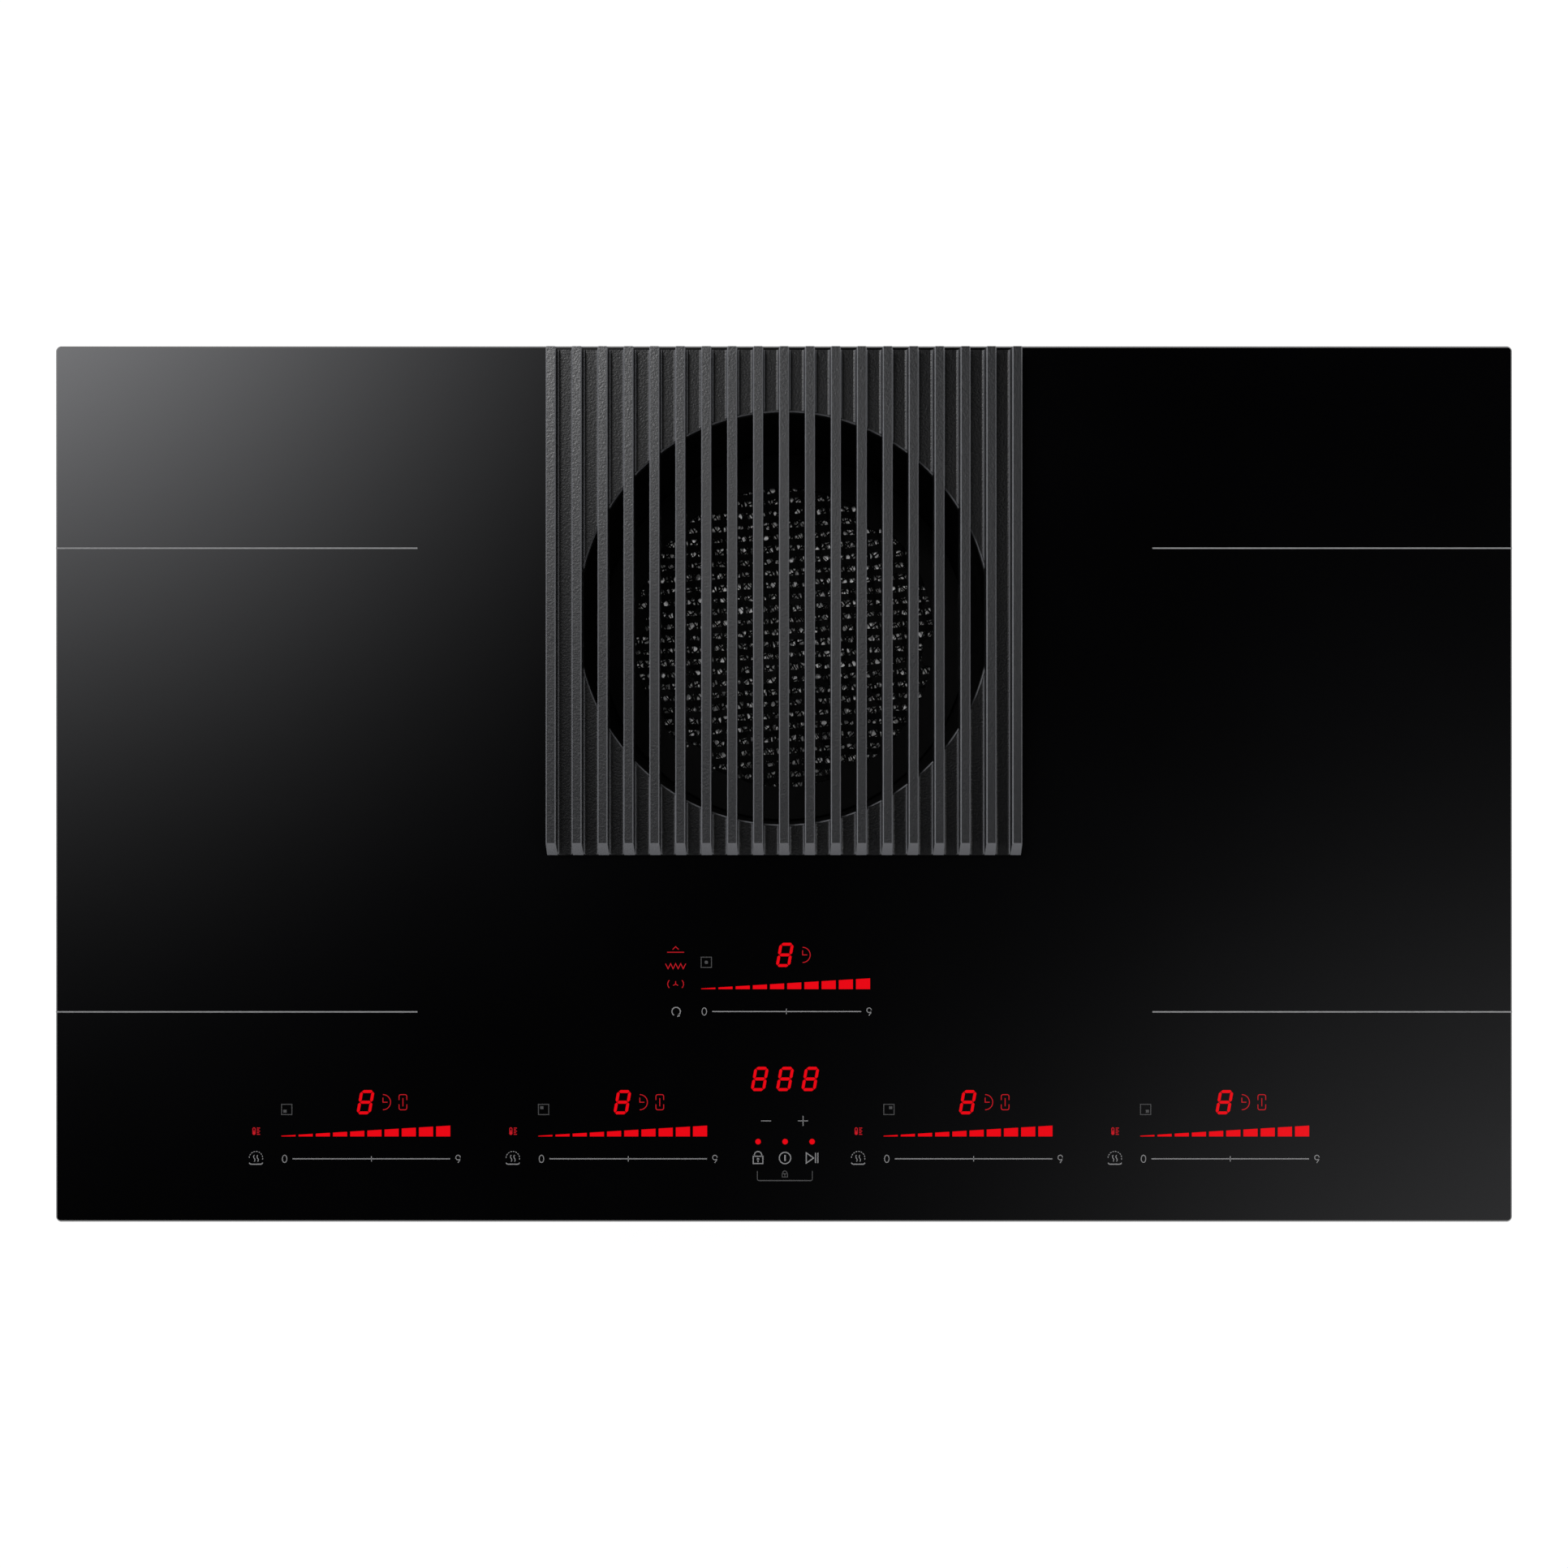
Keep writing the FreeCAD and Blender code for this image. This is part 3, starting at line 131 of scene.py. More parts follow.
# Galvanised sheet: tones, roughness, flakes and ripple
ZINC_TONES, ZINC_ROUGHNESS = (0.42, 0.58), (0.30, 0.40)
ZINC_FLAKES, ZINC_RIPPLE, ZINC_STRENGTH = 380, 900, 0.05
# Grille's coat: heights over its foot and under its top, in metres, between which it changes
COAT_OVER_FOOT, COAT_UNDER_TOP = 0.0022, 0.0007
# Coat colour in the channels and on the ribs: the darker colour in the channels is painted shade
# between the ribs. The lower specular tint in the channels is partly a matter finish and partly
# painted shade
COAT_CHANNEL_SHADE, COAT_RIB = (0.0028, 0.0029, 0.0032), (0.0126, 0.0130, 0.0141)
COAT_TINTS, COAT_SHINE = (0.44, 1.0), 0.7
COAT_ROUGHNESS, COAT_PATCH = (0.29, 0.37), 700
COAT_GRAIN, COAT_STRENGTH, COAT_DEPTH = 850, 0.8, 0.0002
# Painted highlight on the grille's bevels and slopes, on faces between those that look up and
# those that look aside: how far a face looks up where the painted highlight starts and where it is
# full, on the upper and on the lower side
PAINTED_HIGHLIGHT, HIGHLIGHT_UPPER, HIGHLIGHT_LOWER = (0.123, 0.125, 0.132, 1.0), (0.95, 0.80), (0.40, 0.60)
# Lamps under the glass: colours when lit, share of the colour when dark, unevenness
LIT_RED, LIT_DIM = (0.79, 0.0012, 0.006), (0.52, 0.010, 0.018)
LIT_BODY, LIT_LEAST, LIT_SPREAD, LIT_PATCH = 0.02, 0.94, 0.12, 900
LIT_ROUGHNESS, LIT_SHINE = 0.35, 0.1

# Printed marks: three widths of line and the thickness of the print. From here on, sizes are in
# millimetres
LINE, FINE, HAIR = 0.85, 0.6, 0.45
MARK_THICK = 0.05
# Lines beside the zones, from near the edges of the glass to where they end
ZONE_LINES_Y = 139.9, -135.2
ZONE_LINE_LEFT, ZONE_LINE_RIGHT, EDGE_INSET = -217.5, 218.6, 0.5
# Sliders: middle of each digit, with the side and the depth of the zone that it serves
SLIDERS = (-248.3, -1, -1), (-95.9, -1, 1), (109.0, 1, 1), (261.3, 1, -1)
SLIDER_Y = -188.8
# A slider's marks, from the middle of its digit
SLIDER_BARS = -49.9, -20.3
SLIDER_ZONE, ZONE_DOT_SHIFT, ZONE_DOT = (-46.75, -4.3), 1.05, (1.9, 1.7)
SLIDER_CLOCK, SLIDER_LINK = (12.6, 0), (22.2, 0)
SLIDER_HEAT, SLIDER_WARM = (-64.8, -17.2), (-65.0, -33.2)
SLIDER_TOUCH = dict(y=-33.6, left=-43.3, right=50.2, tick=3.5)
TICK_HALF, END_GAP = 1.6, 4.7
# Extractor's slider: middle of its digit, and its marks from there
EXTRACTOR = 0.5, -101.4
EXTRACTOR_BARS = -49.6, -20.3
EXTRACTOR_ZONE, EXTRACTOR_DOT = (-46.6, -4.4), 1.0
EXTRACTOR_CLOCK, EXTRACTOR_LOOP = (12.8, 0), (-64.5, -33.6)
EXTRACTOR_SIGNS_X = -64.8
EXTRACTOR_TOUCH = dict(y=-33.6, left=-43.1, right=45.3, tick=0.9)
# Timer: middles of its digits, lamps under them, its two keys and the three keys under these
TIMER_X, TIMER_Y = (-14.4, 0.6, 15.6), -175.0
LAMP_SPREAD, LAMP_Y, LAMP_RADIUS = 1.068, -212.2, 1.64
MINUS_X, PLUS_X, SIGN_Y, SIGN_HALF = -10.6, 11.3, -199.9, 3.0
LOCK_KEY, POWER_KEY, PAUSE_KEY = (-15.4, -225.5), (0.6, -221.9), (13.2, -221.9)
# Bracket under these keys, with a small lock on it
BRACKET_LEFT, BRACKET_RIGHT, BRACKET_TOP, BRACKET_LOW = -15.8, 16.8, -229.6, -235.3
BRACKET_TURN = 1.0
SMALL_LOCK = dict(x=0.5, y=-233.4, width=3.6, height=2.2, line=HAIR)

# Filter: thickness of a strand, how far it strays from its sheet, and its room in the frame
STRAND, STRAND_STRAY, NET_ROOM, NET_SEED = 0.35, 0.25, 1.5, 7
# Sheets of expanded metal by their depth under the top, dark ones over bright ones
NET = {
    "filter_strands_dark": ("net_black", (
        dict(depth=0.8, pitch=10.9, row=5.8, bond=0, width=4.2, slim=0.42, lean=12, turn=0.88,
             shake=0.8),
        dict(depth=1.7, pitch=5.6, row=3.6, bond=0.8, width=0.95, turn=-0.22, shift=(1.9, 1.3),
             shake=0.8),
        dict(depth=2.5, pitch=3.9, row=4.0, bond=0, width=0.5, turn=0.12, shake=1.0),
    )),
    "filter_strands_bright": ("filter_net", (
        dict(depth=3.4, pitch=5.0, row=3.4, bond=0, width=2.6, lean=5, turn=0.1, loose=9),
        dict(depth=4.4, pitch=4.8, row=3.2, bond=0, width=2.7, lean=5, turn=-0.2, loose=9),
    )),
}

# Grille: its ribs, their width at the foot, the plate, the run of a rib's front end for each unit
# of rise, and the radius of the round hole
RIB_COUNT, RIB_BASE, RIB_PLATE, RIB_SLOPE, GRILLE_HOLE = 19, 6.3, 2.0, 1.06, 123.0
# Fillet at a rib's foot: radius, steps, reach into the plate and the rib, distance from the ends
FOOT_RADIUS, FOOT_STEPS = 1.5, (0, 30, 60, 90)
FOOT_IN_PLATE, FOOT_IN_RIB, FOOT_FRONT, FOOT_REAR = 0.05, 0.15, 0.5, 0.2

# Pan's screws: radius, height and lobing of each ring of a head
SCREW_RINGS = ((4.6, 0.0, 0), (4.6, 0.6, 0), (3.7, 0.8, 0), (3.5, 1.5, 0), (2.8, 2.1, 0),
               (2.0, 2.2, 0.15), (1.8, 1.0, 0.15))
SCREW_LOBES = 6
# Pan's walls inside its flange, and the screws along them, under the top of the pan
FLANGE, SCREW_DROP = 7.0, 14.0
SCREWS_FRONT, SCREWS_REAR, SCREWS_SIDE = (70, 210, 350), (205, 360), (-205, 0, 205)
SCREWS_BELOW_X, SCREWS_BELOW_Y = 172.0, (-130, -75, -20, 90)
# Pan's pressed beads: half width and height of each ring, ends and places
BEAD_RINGS = (4.5, 0.0), (4.1, 0.5), (2.9, 1.0), (1.2, 1.25)
BEAD_STEPS = 8
BEADS_BELOW_X, BEADS_BELOW_Y = (205.0, 380.0), (-60.0, 0.0, 60.0, 120.0)
BEAD_RISE, BEAD_SIDE, BEADS_FRONT = 20, 110.0, ((-385.0, -20.0), (20.0, 385.0))
# Gland's cap: half its width across flats, length, chamfer, lip past the gland, radius of its face
# and hole, start of the cone, and the step from the gland's flange to its barrel
CAP_FLAT, CAP_LENGTH, CAP_CHAMFER, CAP_LIP = 12.6, 14.0, 0.8, 0.8
CAP_FACE, CAP_HOLE, CAP_CONE, GLAND_STEP = 11.0, 7.6, 2.0, 3.0


def material(name, roughness, metallic=0.0, shine=0.5):
    """Empty material and the parts of it that the recipes need."""
    made = bpy.data.materials.new(name)
    made.use_nodes = True
    tree = made.node_tree
    shader = tree.nodes["Principled BSDF"]
    shader.inputs["Roughness"].default_value = roughness
    shader.inputs["Metallic"].default_value = metallic
    shader.inputs["Specular IOR Level"].default_value = shine
    return made, tree, shader


def calculate(tree, operation, *terms):
    """Math node on terms that are numbers or outputs of other nodes."""
    node = tree.nodes.new("ShaderNodeMath")
    node.operation = operation
    for socket, term in zip(node.inputs, terms):
        if isinstance(term, (int, float)):
            socket.default_value = term
        else:
            tree.links.new(term, socket)
    return node.outputs["Value"]


def mix_shaders(tree, share, first, second):
    """Two shaders mixed by a share of the second."""
    node = tree.nodes.new("ShaderNodeMixShader")
    for socket, source in zip(node.inputs, (share, first, second)):
        tree.links.new(source, socket)
    return node.outputs["Shader"]


def by_height(tree, vector, start, end, first=0.0, last=1.0, curve="LINEAR"):
    """Value that goes from first to last while a vector's z goes from start to end."""
    split = tree.nodes.new("ShaderNodeSeparateXYZ")
    tree.links.new(vector, split.inputs["Vector"])
    node = tree.nodes.new("ShaderNodeMapRange")
    node.interpolation_type = curve
    ends = {"From Min": start, "From Max": end, "To Min": first, "To Max": last}
    for socket, value in ends.items():
        node.inputs[socket].default_value = value
    tree.links.new(split.outputs["Z"], node.inputs["Value"])
    return node.outputs["Result"]


def noise(tree, scale, detail=4.0, stretch=(1, 1, 1)):
    """Noise in the object's own metres."""
    place = tree.nodes.new("ShaderNodeTexCoord")
    mapping = tree.nodes.new("ShaderNodeMapping")
    mapping.inputs["Scale"].default_value = stretch
    tree.links.new(place.outputs["Object"], mapping.inputs["Vector"])
    texture = tree.nodes.new("ShaderNodeTexNoise")
    texture.inputs["Scale"].default_value = scale
    texture.inputs["Detail"].default_value = detail
    tree.links.new(mapping.outputs["Vector"], texture.inputs["Vector"])
    return texture.outputs["Fac"]


def ramp(tree, factor, low, high, start=0.3, end=0.7):
    """Colours, or greys given as one number, between two ends of a factor."""
    colours = tree.nodes.new("ShaderNodeValToRGB")
    for stop, place, colour in zip(colours.color_ramp.elements, (start, end), (low, high)):
        stop.position = place
        stop.color = (*colour, 1.0) if isinstance(colour, tuple) else (colour, colour, colour, 1.0)
    tree.links.new(factor, colours.inputs["Fac"])
    return colours.outputs["Color"]


def bump(tree, shader, height, strength, depth=0.0001):
    """Bump from a height between 0 and 1."""
    node = tree.nodes.new("ShaderNodeBump")
    node.inputs["Strength"].default_value = strength
    node.inputs["Distance"].default_value = depth
    tree.links.new(height, node.inputs["Height"])
    tree.links.new(node.outputs["Normal"], shader.inputs["Normal"])


def grained(name, low, high, roughness, metallic=0.0, patch=40, grain=2500, strength=0.15,
            depth=0.0001, stretch=(1, 1, 1), shine=0.5, finer=3):
    """Surface with patches of colour, finer ones of roughness, and a grain in relief."""
    made, tree, shader = material(name, roughness[0], metallic, shine)
    colour = ramp(tree, noise(tree, patch, stretch=stretch), low, high)
    tree.links.new(colour, shader.inputs["Base Color"])
    sheen = ramp(tree, noise(tree, patch * finer, stretch=stretch), *roughness)
    tree.links.new(sheen, shader.inputs["Roughness"])
    bump(tree, shader, noise(tree, grain, GRAIN_DETAIL, stretch), strength, depth)
    return made


def spangled(name):
    """Galvanised sheet, with its crystal flakes."""
    made, tree, shader = material(name, ZINC_ROUGHNESS[0], 1.0)
    flakes = tree.nodes.new("ShaderNodeTexVoronoi")
    flakes.inputs["Scale"].default_value = ZINC_FLAKES
    place = tree.nodes.new("ShaderNodeTexCoord")
    tree.links.new(place.outputs["Object"], flakes.inputs["Vector"])
    tone = tree.nodes.new("ShaderNodeRGBToBW")
    tree.links.new(flakes.outputs["Color"], tone.inputs["Color"])
    colour = ramp(tree, tone.outputs["Val"], *ZINC_TONES, 0.2, 0.8)
    tree.links.new(colour, shader.inputs["Base Color"])
    tree.links.new(ramp(tree, tone.outputs["Val"], *ZINC_ROUGHNESS), shader.inputs["Roughness"])
    bump(tree, shader, noise(tree, ZINC_RIPPLE), ZINC_STRENGTH)
    return made


def lit(name, colour):
    """Light module seen through dark glass."""
    made, tree, shader = material(name, LIT_ROUGHNESS, shine=LIT_SHINE)
    shader.inputs["Base Color"].default_value = (*(c * LIT_BODY for c in colour), 1.0)
    shader.inputs["Emission Color"].default_value = (*colour, 1.0)
    glow = calculate(tree, "MULTIPLY_ADD", noise(tree, LIT_PATCH), LIT_SPREAD, LIT_LEAST)
    tree.links.new(glow, shader.inputs["Emission Strength"])
    return made


def cast_coat(name):
    """Grille's powder coat: darker and less reflective in the channels than on the ribs, by
    painted shade between the ribs and partly a matter finish; paler on bevels and slopes by a
    painted highlight.
    """
    made, tree, shader = material(name, COAT_ROUGHNESS[0], shine=COAT_SHINE)
    heights = [corner.co.z for corner in nodes["grille"].data.vertices]
    place = tree.nodes.new("ShaderNodeTexCoord").outputs
    height = by_height(tree, place["Object"], min(heights) + COAT_OVER_FOOT,
                       max(heights) - COAT_UNDER_TOP)
    upper = by_height(tree, place["Normal"], *HIGHLIGHT_UPPER)
    lower = by_height(tree, place["Normal"], *HIGHLIGHT_LOWER)
    # Paler colour on faces that lean, such as bevels, slopes and the fillets at the ribs' feet: a
    # painted highlight
    highlighted = tree.nodes.new("ShaderNodeMix")
    highlighted.data_type = "RGBA"
    tree.links.new(calculate(tree, "MULTIPLY", upper, lower), highlighted.inputs["Factor"])
    # Darker colour in the channels than on the ribs: painted shade between the ribs
    tree.links.new(ramp(tree, height, COAT_CHANNEL_SHADE, COAT_RIB, 0, 1), highlighted.inputs["A"])
    highlighted.inputs["B"].default_value = PAINTED_HIGHLIGHT
    tree.links.new(highlighted.outputs["Result"], shader.inputs["Base Color"])
    # Lower specular tint in the channels: partly a matter finish, partly painted shade
    tree.links.new(ramp(tree, height, *COAT_TINTS, 0, 1), shader.inputs["Specular Tint"])
    sheen = ramp(tree, noise(tree, COAT_PATCH), *COAT_ROUGHNESS)
    tree.links.new(sheen, shader.inputs["Roughness"])
    bump(tree, shader, noise(tree, COAT_GRAIN, GRAIN_DETAIL), COAT_STRENGTH, COAT_DEPTH)
    return made


MATERIALS = {name: grained(name, **look) for name, look in FINISHES.items()}
MATERIALS["grille_coat"] = cast_coat("grille_coat")
MATERIALS["zinc_steel"] = spangled("zinc_steel")
MATERIALS["lit_red"] = lit("lit_red", LIT_RED)
MATERIALS["lit_dim"] = lit("lit_dim", LIT_DIM)


def dress_nodes():
    """Give each CAD node the material of its slot, and the well a black lining."""
    finishes = {"filter_well": "well_black"}
    for part in frame["record"]["subparts"]:
        mesh = nodes[part["node"]].data
        mesh.materials.clear()
        mesh.materials.append(MATERIALS[finishes.get(part["node"], part["material_slot"])])


def to_mesh(name, bm, outward=True):
    """Mesh of what bm holds, with its faces turned outward if they may not be."""
    if outward:
        bmesh.ops.recalc_face_normals(bm, faces=bm.faces)
    mesh = bpy.data.meshes.new(name)
    bm.to_mesh(mesh)
    bm.free()
    return mesh


def add_piece(name, mesh, finish, body="hob"):
    """Object of its own that moves with a body."""
    piece = bpy.data.objects.new(name, mesh)
    bpy.context.scene.collection.objects.link(piece)
    mesh.materials.append(MATERIALS[finish])
    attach(piece, body)
    return piece


class Marks:
    """Thin shapes on the glass, drawn about a point."""

    def __init__(self):
        self.bm = bmesh.new()
        self.x = self.y = 0.0

    def at(self, x, y):
        """Move the point to draw about."""
        self.x, self.y = x, y
        return self

    def shape(self, points):
        """Filled outline, facing up."""
        corners = [((self.x + x) * MM, (self.y + y) * MM, GLASS_Z) for x, y in points]
        face = self.bm.faces.new([self.bm.verts.new(c) for c in corners])
        face.normal_update()
        if face.normal.z < 0:
            face.normal_flip()

    def box(self, x, y, width, height):
        """Filled rectangle about its middle."""
        w, h = width / 2, height / 2
        self.shape([(x - w, y - h), (x + w, y - h), (x + w, y + h), (x - w, y + h)])

    def disc(self, x, y, radius, steps=28):
        """Filled circle."""
        turns = [2 * math.pi * i / steps for i in range(steps)]
        self.shape([(x + radius * math.cos(a), y + radius * math.sin(a)) for a in turns])

    def path(self, points, width, closed=False, sharpest=0.3):
        """Line of a width through points, mitred at its corners."""
        spots = [Vector(p) for p in points]
        count = len(spots)
        sides = []
        for i, spot in enumerate(spots):
            before = spots[i - 1] if i or closed else None
            after = spots[(i + 1) % count] if i < count - 1 or closed else None
            runs = (before, spot), (spot, after)
            ways = [(b - a).normalized() for a, b in runs if a and b]
            way = sum(ways, Vector((0, 0))).normalized()
            reach = width / 2 / max(way.dot(ways[0]), sharpest)
            normal = Vector((-way.y, way.x)) * reach
            sides.append((spot + normal, spot - normal))
        for i in range(count if closed else count - 1):
            a, b = sides[i], sides[(i + 1) % count]
            self.shape([a[0], a[1], b[1], b[0]])

    def arc(self, x, y, radius, width, start=0, end=360, steps=24, squeeze=1.0):
        """Line round a centre, from one angle to another in degrees."""
        turns = [math.radians(start + (end - start) * i / steps) for i in range(steps + 1)]
        points = [(x + radius * squeeze * math.cos(a), y + radius * math.sin(a)) for a in turns]
        full = abs(end - start) == 360
        self.path(points[:-1] if full else points, width, full)

    def piece(self, name, finish, slot="black_glass"):
        """Make what was drawn into a piece."""
        bmesh.ops.remove_doubles(self.bm, verts=self.bm.verts, dist=1e-7)
        made = add_piece(name, to_mesh(name, self.bm, outward=False), finish)
        thick = made.modifiers.new("thickness", "SOLIDIFY")
        thick.thickness = MARK_THICK * MM
        thick.offset = 1.0


def eight(marks, height=14.5, width=8.6, bar=1.85, lean=0.176, gap=0.2):
    """Seven lit segments of a digit about the marks' point."""
    half_w, half_h = (width - bar) / 2, (height - bar) / 2
    knots = {(i, j): (i * half_w, j * half_h) for i in (-1, 1) for j in (-1, 0, 1)}
    runs = [((-1, j), (1, j)) for j in (-1, 0, 1)]
    runs += [((i, j), (i, j + 1)) for i in (-1, 1) for j in (-1, 0)]
    for a, b in runs:
        start, end = Vector(knots[a]), Vector(knots[b])
        way = (end - start).normalized()
        side = Vector((-way.y, way.x)) * (bar / 2 - gap / 3)
        start, end = start + way * gap, end - way * gap
        inner_start, inner_end = start + way * bar / 2, end - way * bar / 2
        outline = [start, inner_start - side, inner_end - side,
                   end, inner_end + side, inner_start + side]
        marks.shape([(p.x + p.y * lean, p.y) for p in outline])


def bar_graph(marks, left, low, count=10, width=8.38, pitch=10.2, first=0.4, last=6.4):
    """Row of lit bars whose tops climb to the right."""
    run = pitch * (count - 1) + width
    for i in range(count):
        x0 = i * pitch
        x1 = x0 + width
        h0, h1 = (first + (last - first) * x / run for x in (x0, x1))
        marks.shape([(left + x0, low), (left + x1, low),
                     (left + x1, low + h1), (left + x0, low + h0)])


def clock(marks, x, y, radius=4.5, hand=0.6):
    """Half a dial with its two hands."""
    left, reach = x - radius / 2, hand * radius
    marks.arc(left, y, radius, HAIR, -90, 90)
    marks.path([(left, y + reach), (left, y), (left + reach, y)], HAIR)


def link_sign(marks, x, y, half=2.3, reach=4.5, turn=1.1, gap=1.3, bar=2.4):
    """Two cooking zones joined in one: a bracket above, one below and a bar between."""
    for way in (-1, 1):
        corner, end = y + way * (reach - turn), y + way * reach
        for side in (-1, 1):
            wall = x + side * half
            marks.path([(wall, y + way * gap), (wall, corner)], HAIR)
        marks.path([(x - half + turn, end), (x + half - turn, end)], HAIR)
        for side in (-1, 1):
            start = 90 - side * 90
            marks.arc(x + side * (half - turn), corner, turn, HAIR, way * start, way * 90, 6)
    marks.path([(x, y - bar), (x, y + bar)], HAIR)


def zone_sign(marks, x, y, size=6.1):
    """Square that stands for the hob's surface."""
    h = size / 2
    marks.path([(x - h, y - h), (x + h, y - h), (x + h, y + h), (x - h, y + h)], HAIR, True)


def heat_sign(marks, x, y, size=0.85):
    """Thermometer with its scale."""
    tube, bore, top, low = x - 1.6 * size, 0.8 * size, y + 1.6 * size, y - 1.0 * size
    marks.arc(tube, top, bore, HAIR, 0, 180, 8)
    for way in (-1, 1):
        marks.path([(tube + way * bore, top), (tube + way * bore, low)], HAIR)
    marks.path([(tube, y + 0.6 * size), (tube, low)], HAIR)
    marks.disc(tube, y - 1.5 * size, 1.1 * size)
    for i in range(5):
        level, reach = y + (2.2 - 1.1 * i) * size, (1.9 if i % 2 else 2.6) * size
        marks.path([(x + 0.4 * size, level), (x + reach, level)], HAIR)


def warm_sign(marks, x, y, radius=4.0):
    """Dashed dome over two waves, on a dish with turned-up ends."""
    first, step, dash, dashes = -12, 22, 13, 9
    for i in range(dashes):
        start = first + step * i
        marks.arc(x, y, radius, HAIR, start, start + dash, 4)
    wave, swing, foot, rise = 0.9, 0.42, -2.0, 0.55
    for dx in (-1.0, 1.0):
        marks.path([(x + dx + swing * math.sin(t * wave), y + foot + t * rise)
                    for t in range(8)], HAIR)
    low = y - 3.6
    left = [(x - radius, low + 0.9), (x - radius + 0.5, low + 0.2), (x - radius + 1.2, low)]
    marks.path(left + [(2 * x - a, b) for a, b in reversed(left)], FINE)


def nought(marks, x, y, height=4.8):
    """Figure 0."""
    marks.arc(x, y, height / 2 - HAIR / 2, HAIR, squeeze=0.62)


def nine(marks, x, y, height=4.8, squeeze=0.95):
    """Figure 9."""
    r = height * 0.29
    top = y + height / 2 - r - HAIR / 2
    marks.arc(x, top, r, HAIR, squeeze=squeeze)
    marks.path([(x + r * squeeze, top), (x + r * 0.7, y - height * 0.18),
                (x - r * 0.1, y - height / 2)], HAIR)


def slider(marks, y, left, right, tick):
    """Touch slider between its two end numbers."""
    marks.path([(left, y), (right, y)], FINE)
    marks.path([(tick, y - TICK_HALF), (tick, y + TICK_HALF)], HAIR)
    nought(marks, left - END_GAP, y)
    nine(marks, right + END_GAP, y)


def padlock(marks, x, y, width=6.3, height=4.6, line=FINE):
    """Outlined lock with a keyhole, standing on a height."""
    w, r = (width - line) / 2, width * 0.35
    low, high, hole = y + line / 2, y + height, y + height * 0.62
    bow = high + 0.1 * width
    marks.path([(x - w, low), (x + w, low), (x + w, high), (x - w, high)], line, True)
    marks.arc(x, bow, r, line, 0, 180, 14)
    for side in (-1, 1):
        marks.path([(x + side * r, high), (x + side * r, bow)], line)
    marks.disc(x, hole, width * 0.12)
    marks.path([(x, hole), (x, y + height * 0.25)], line)


def power_sign(marks, x, y, radius=3.4, stroke=0.52):
    """Ring with a stroke in it."""
    marks.arc(x, y, radius, FINE)
    marks.path([(x, y - stroke * radius), (x, y + stroke * radius)], LINE)


def pause_sign(marks, x, y, height=6.1):
    """Outlined start arrow and two pause strokes."""
    h = height / 2
    marks.path([(x, y - h), (x + 0.72 * height, y), (x, y + h)], FINE, True)
    for dx in (0.9, 1.13):
        marks.path([(x + dx * height, y - h), (x + dx * height, y + h)], FINE)


def fan_signs(marks, x):
    """Signs for an open grille, for the filter and for a self-set fan, one under another."""
    bar, bar_y = 5.0, 1.6
    marks.path([(x - bar, bar_y), (x + bar, bar_y)], HAIR)
    tip, tip_low, tip_high = 1.8, 3.2, 4.9
    marks.path([(x - tip, tip_low), (x, tip_high), (x + tip, tip_low)], HAIR)
    left, step, teeth, low, high = -6.0, 1.5, 9, -8.2, -5.2
    marks.path([(x + left + step * i, low if i % 2 else high) for i in range(teeth)], HAIR)
    fan_y, gap, ring, blade = -17.3, 1.5, 3.2, 1.7
    for side in (-1, 1):
        middle = 90 - side * 90
        marks.arc(x + side * gap, fan_y, ring, HAIR, middle - 45, middle + 45, 8)
    for turn in (90, 210, 330):
        end = math.radians(turn)
        marks.path([(x, fan_y), (x + blade * math.cos(end), fan_y + blade * math.sin(end))], HAIR)


def loop_sign(marks, x, y, radius=2.5):
    """Arrow that runs round."""
    marks.arc(x, y, radius, FINE, -60, 240)
    marks.shape([(x + 0.2 * radius, y - 1.3 * radius), (x + 0.9 * radius, y - 1.1 * radius),
                 (x + 0.6 * radius, y - 0.45 * radius)])


def draw_zones(grey, dark, red, dim):
    """Lines beside the zones, and the four sliders that serve them."""
    edge_x = GLASS_HIGH.x / MM - EDGE_INSET
    for y in ZONE_LINES_Y:
        grey.at(0, y).path([(-edge_x, 0), (ZONE_LINE_LEFT, 0)], LINE)
        grey.at(0, y).path([(ZONE_LINE_RIGHT, 0), (edge_x, 0)], LINE)
    for x, side, rear in SLIDERS:
        for marks in (grey, dark, red, dim):
            marks.at(x, SLIDER_Y)
        eight(red)
        bar_graph(red, *SLIDER_BARS)
        zone_sign(dark, *SLIDER_ZONE)
        zone_x, zone_y = SLIDER_ZONE
        dark.box(zone_x + side * ZONE_DOT_SHIFT, zone_y + rear * ZONE_DOT_SHIFT, *ZONE_DOT)
        clock(dim, *SLIDER_CLOCK)
        link_sign(dim, *SLIDER_LINK)
        heat_sign(dim, *SLIDER_HEAT)
        warm_sign(grey, *SLIDER_WARM)
        slider(grey, **SLIDER_TOUCH)


def draw_extractor(grey, dark, red, dim):
    """Slider of the extractor and its signs."""
    for marks in (grey, dark, red, dim):
        marks.at(*EXTRACTOR)
    eight(red)
    bar_graph(red, *EXTRACTOR_BARS)
    zone_sign(dark, *EXTRACTOR_ZONE)
    dark.disc(*EXTRACTOR_ZONE, EXTRACTOR_DOT)
    clock(dim, *EXTRACTOR_CLOCK)
    fan_signs(dim, EXTRACTOR_SIGNS_X)
    slider(grey, **EXTRACTOR_TOUCH)
    loop_sign(grey, *EXTRACTOR_LOOP)


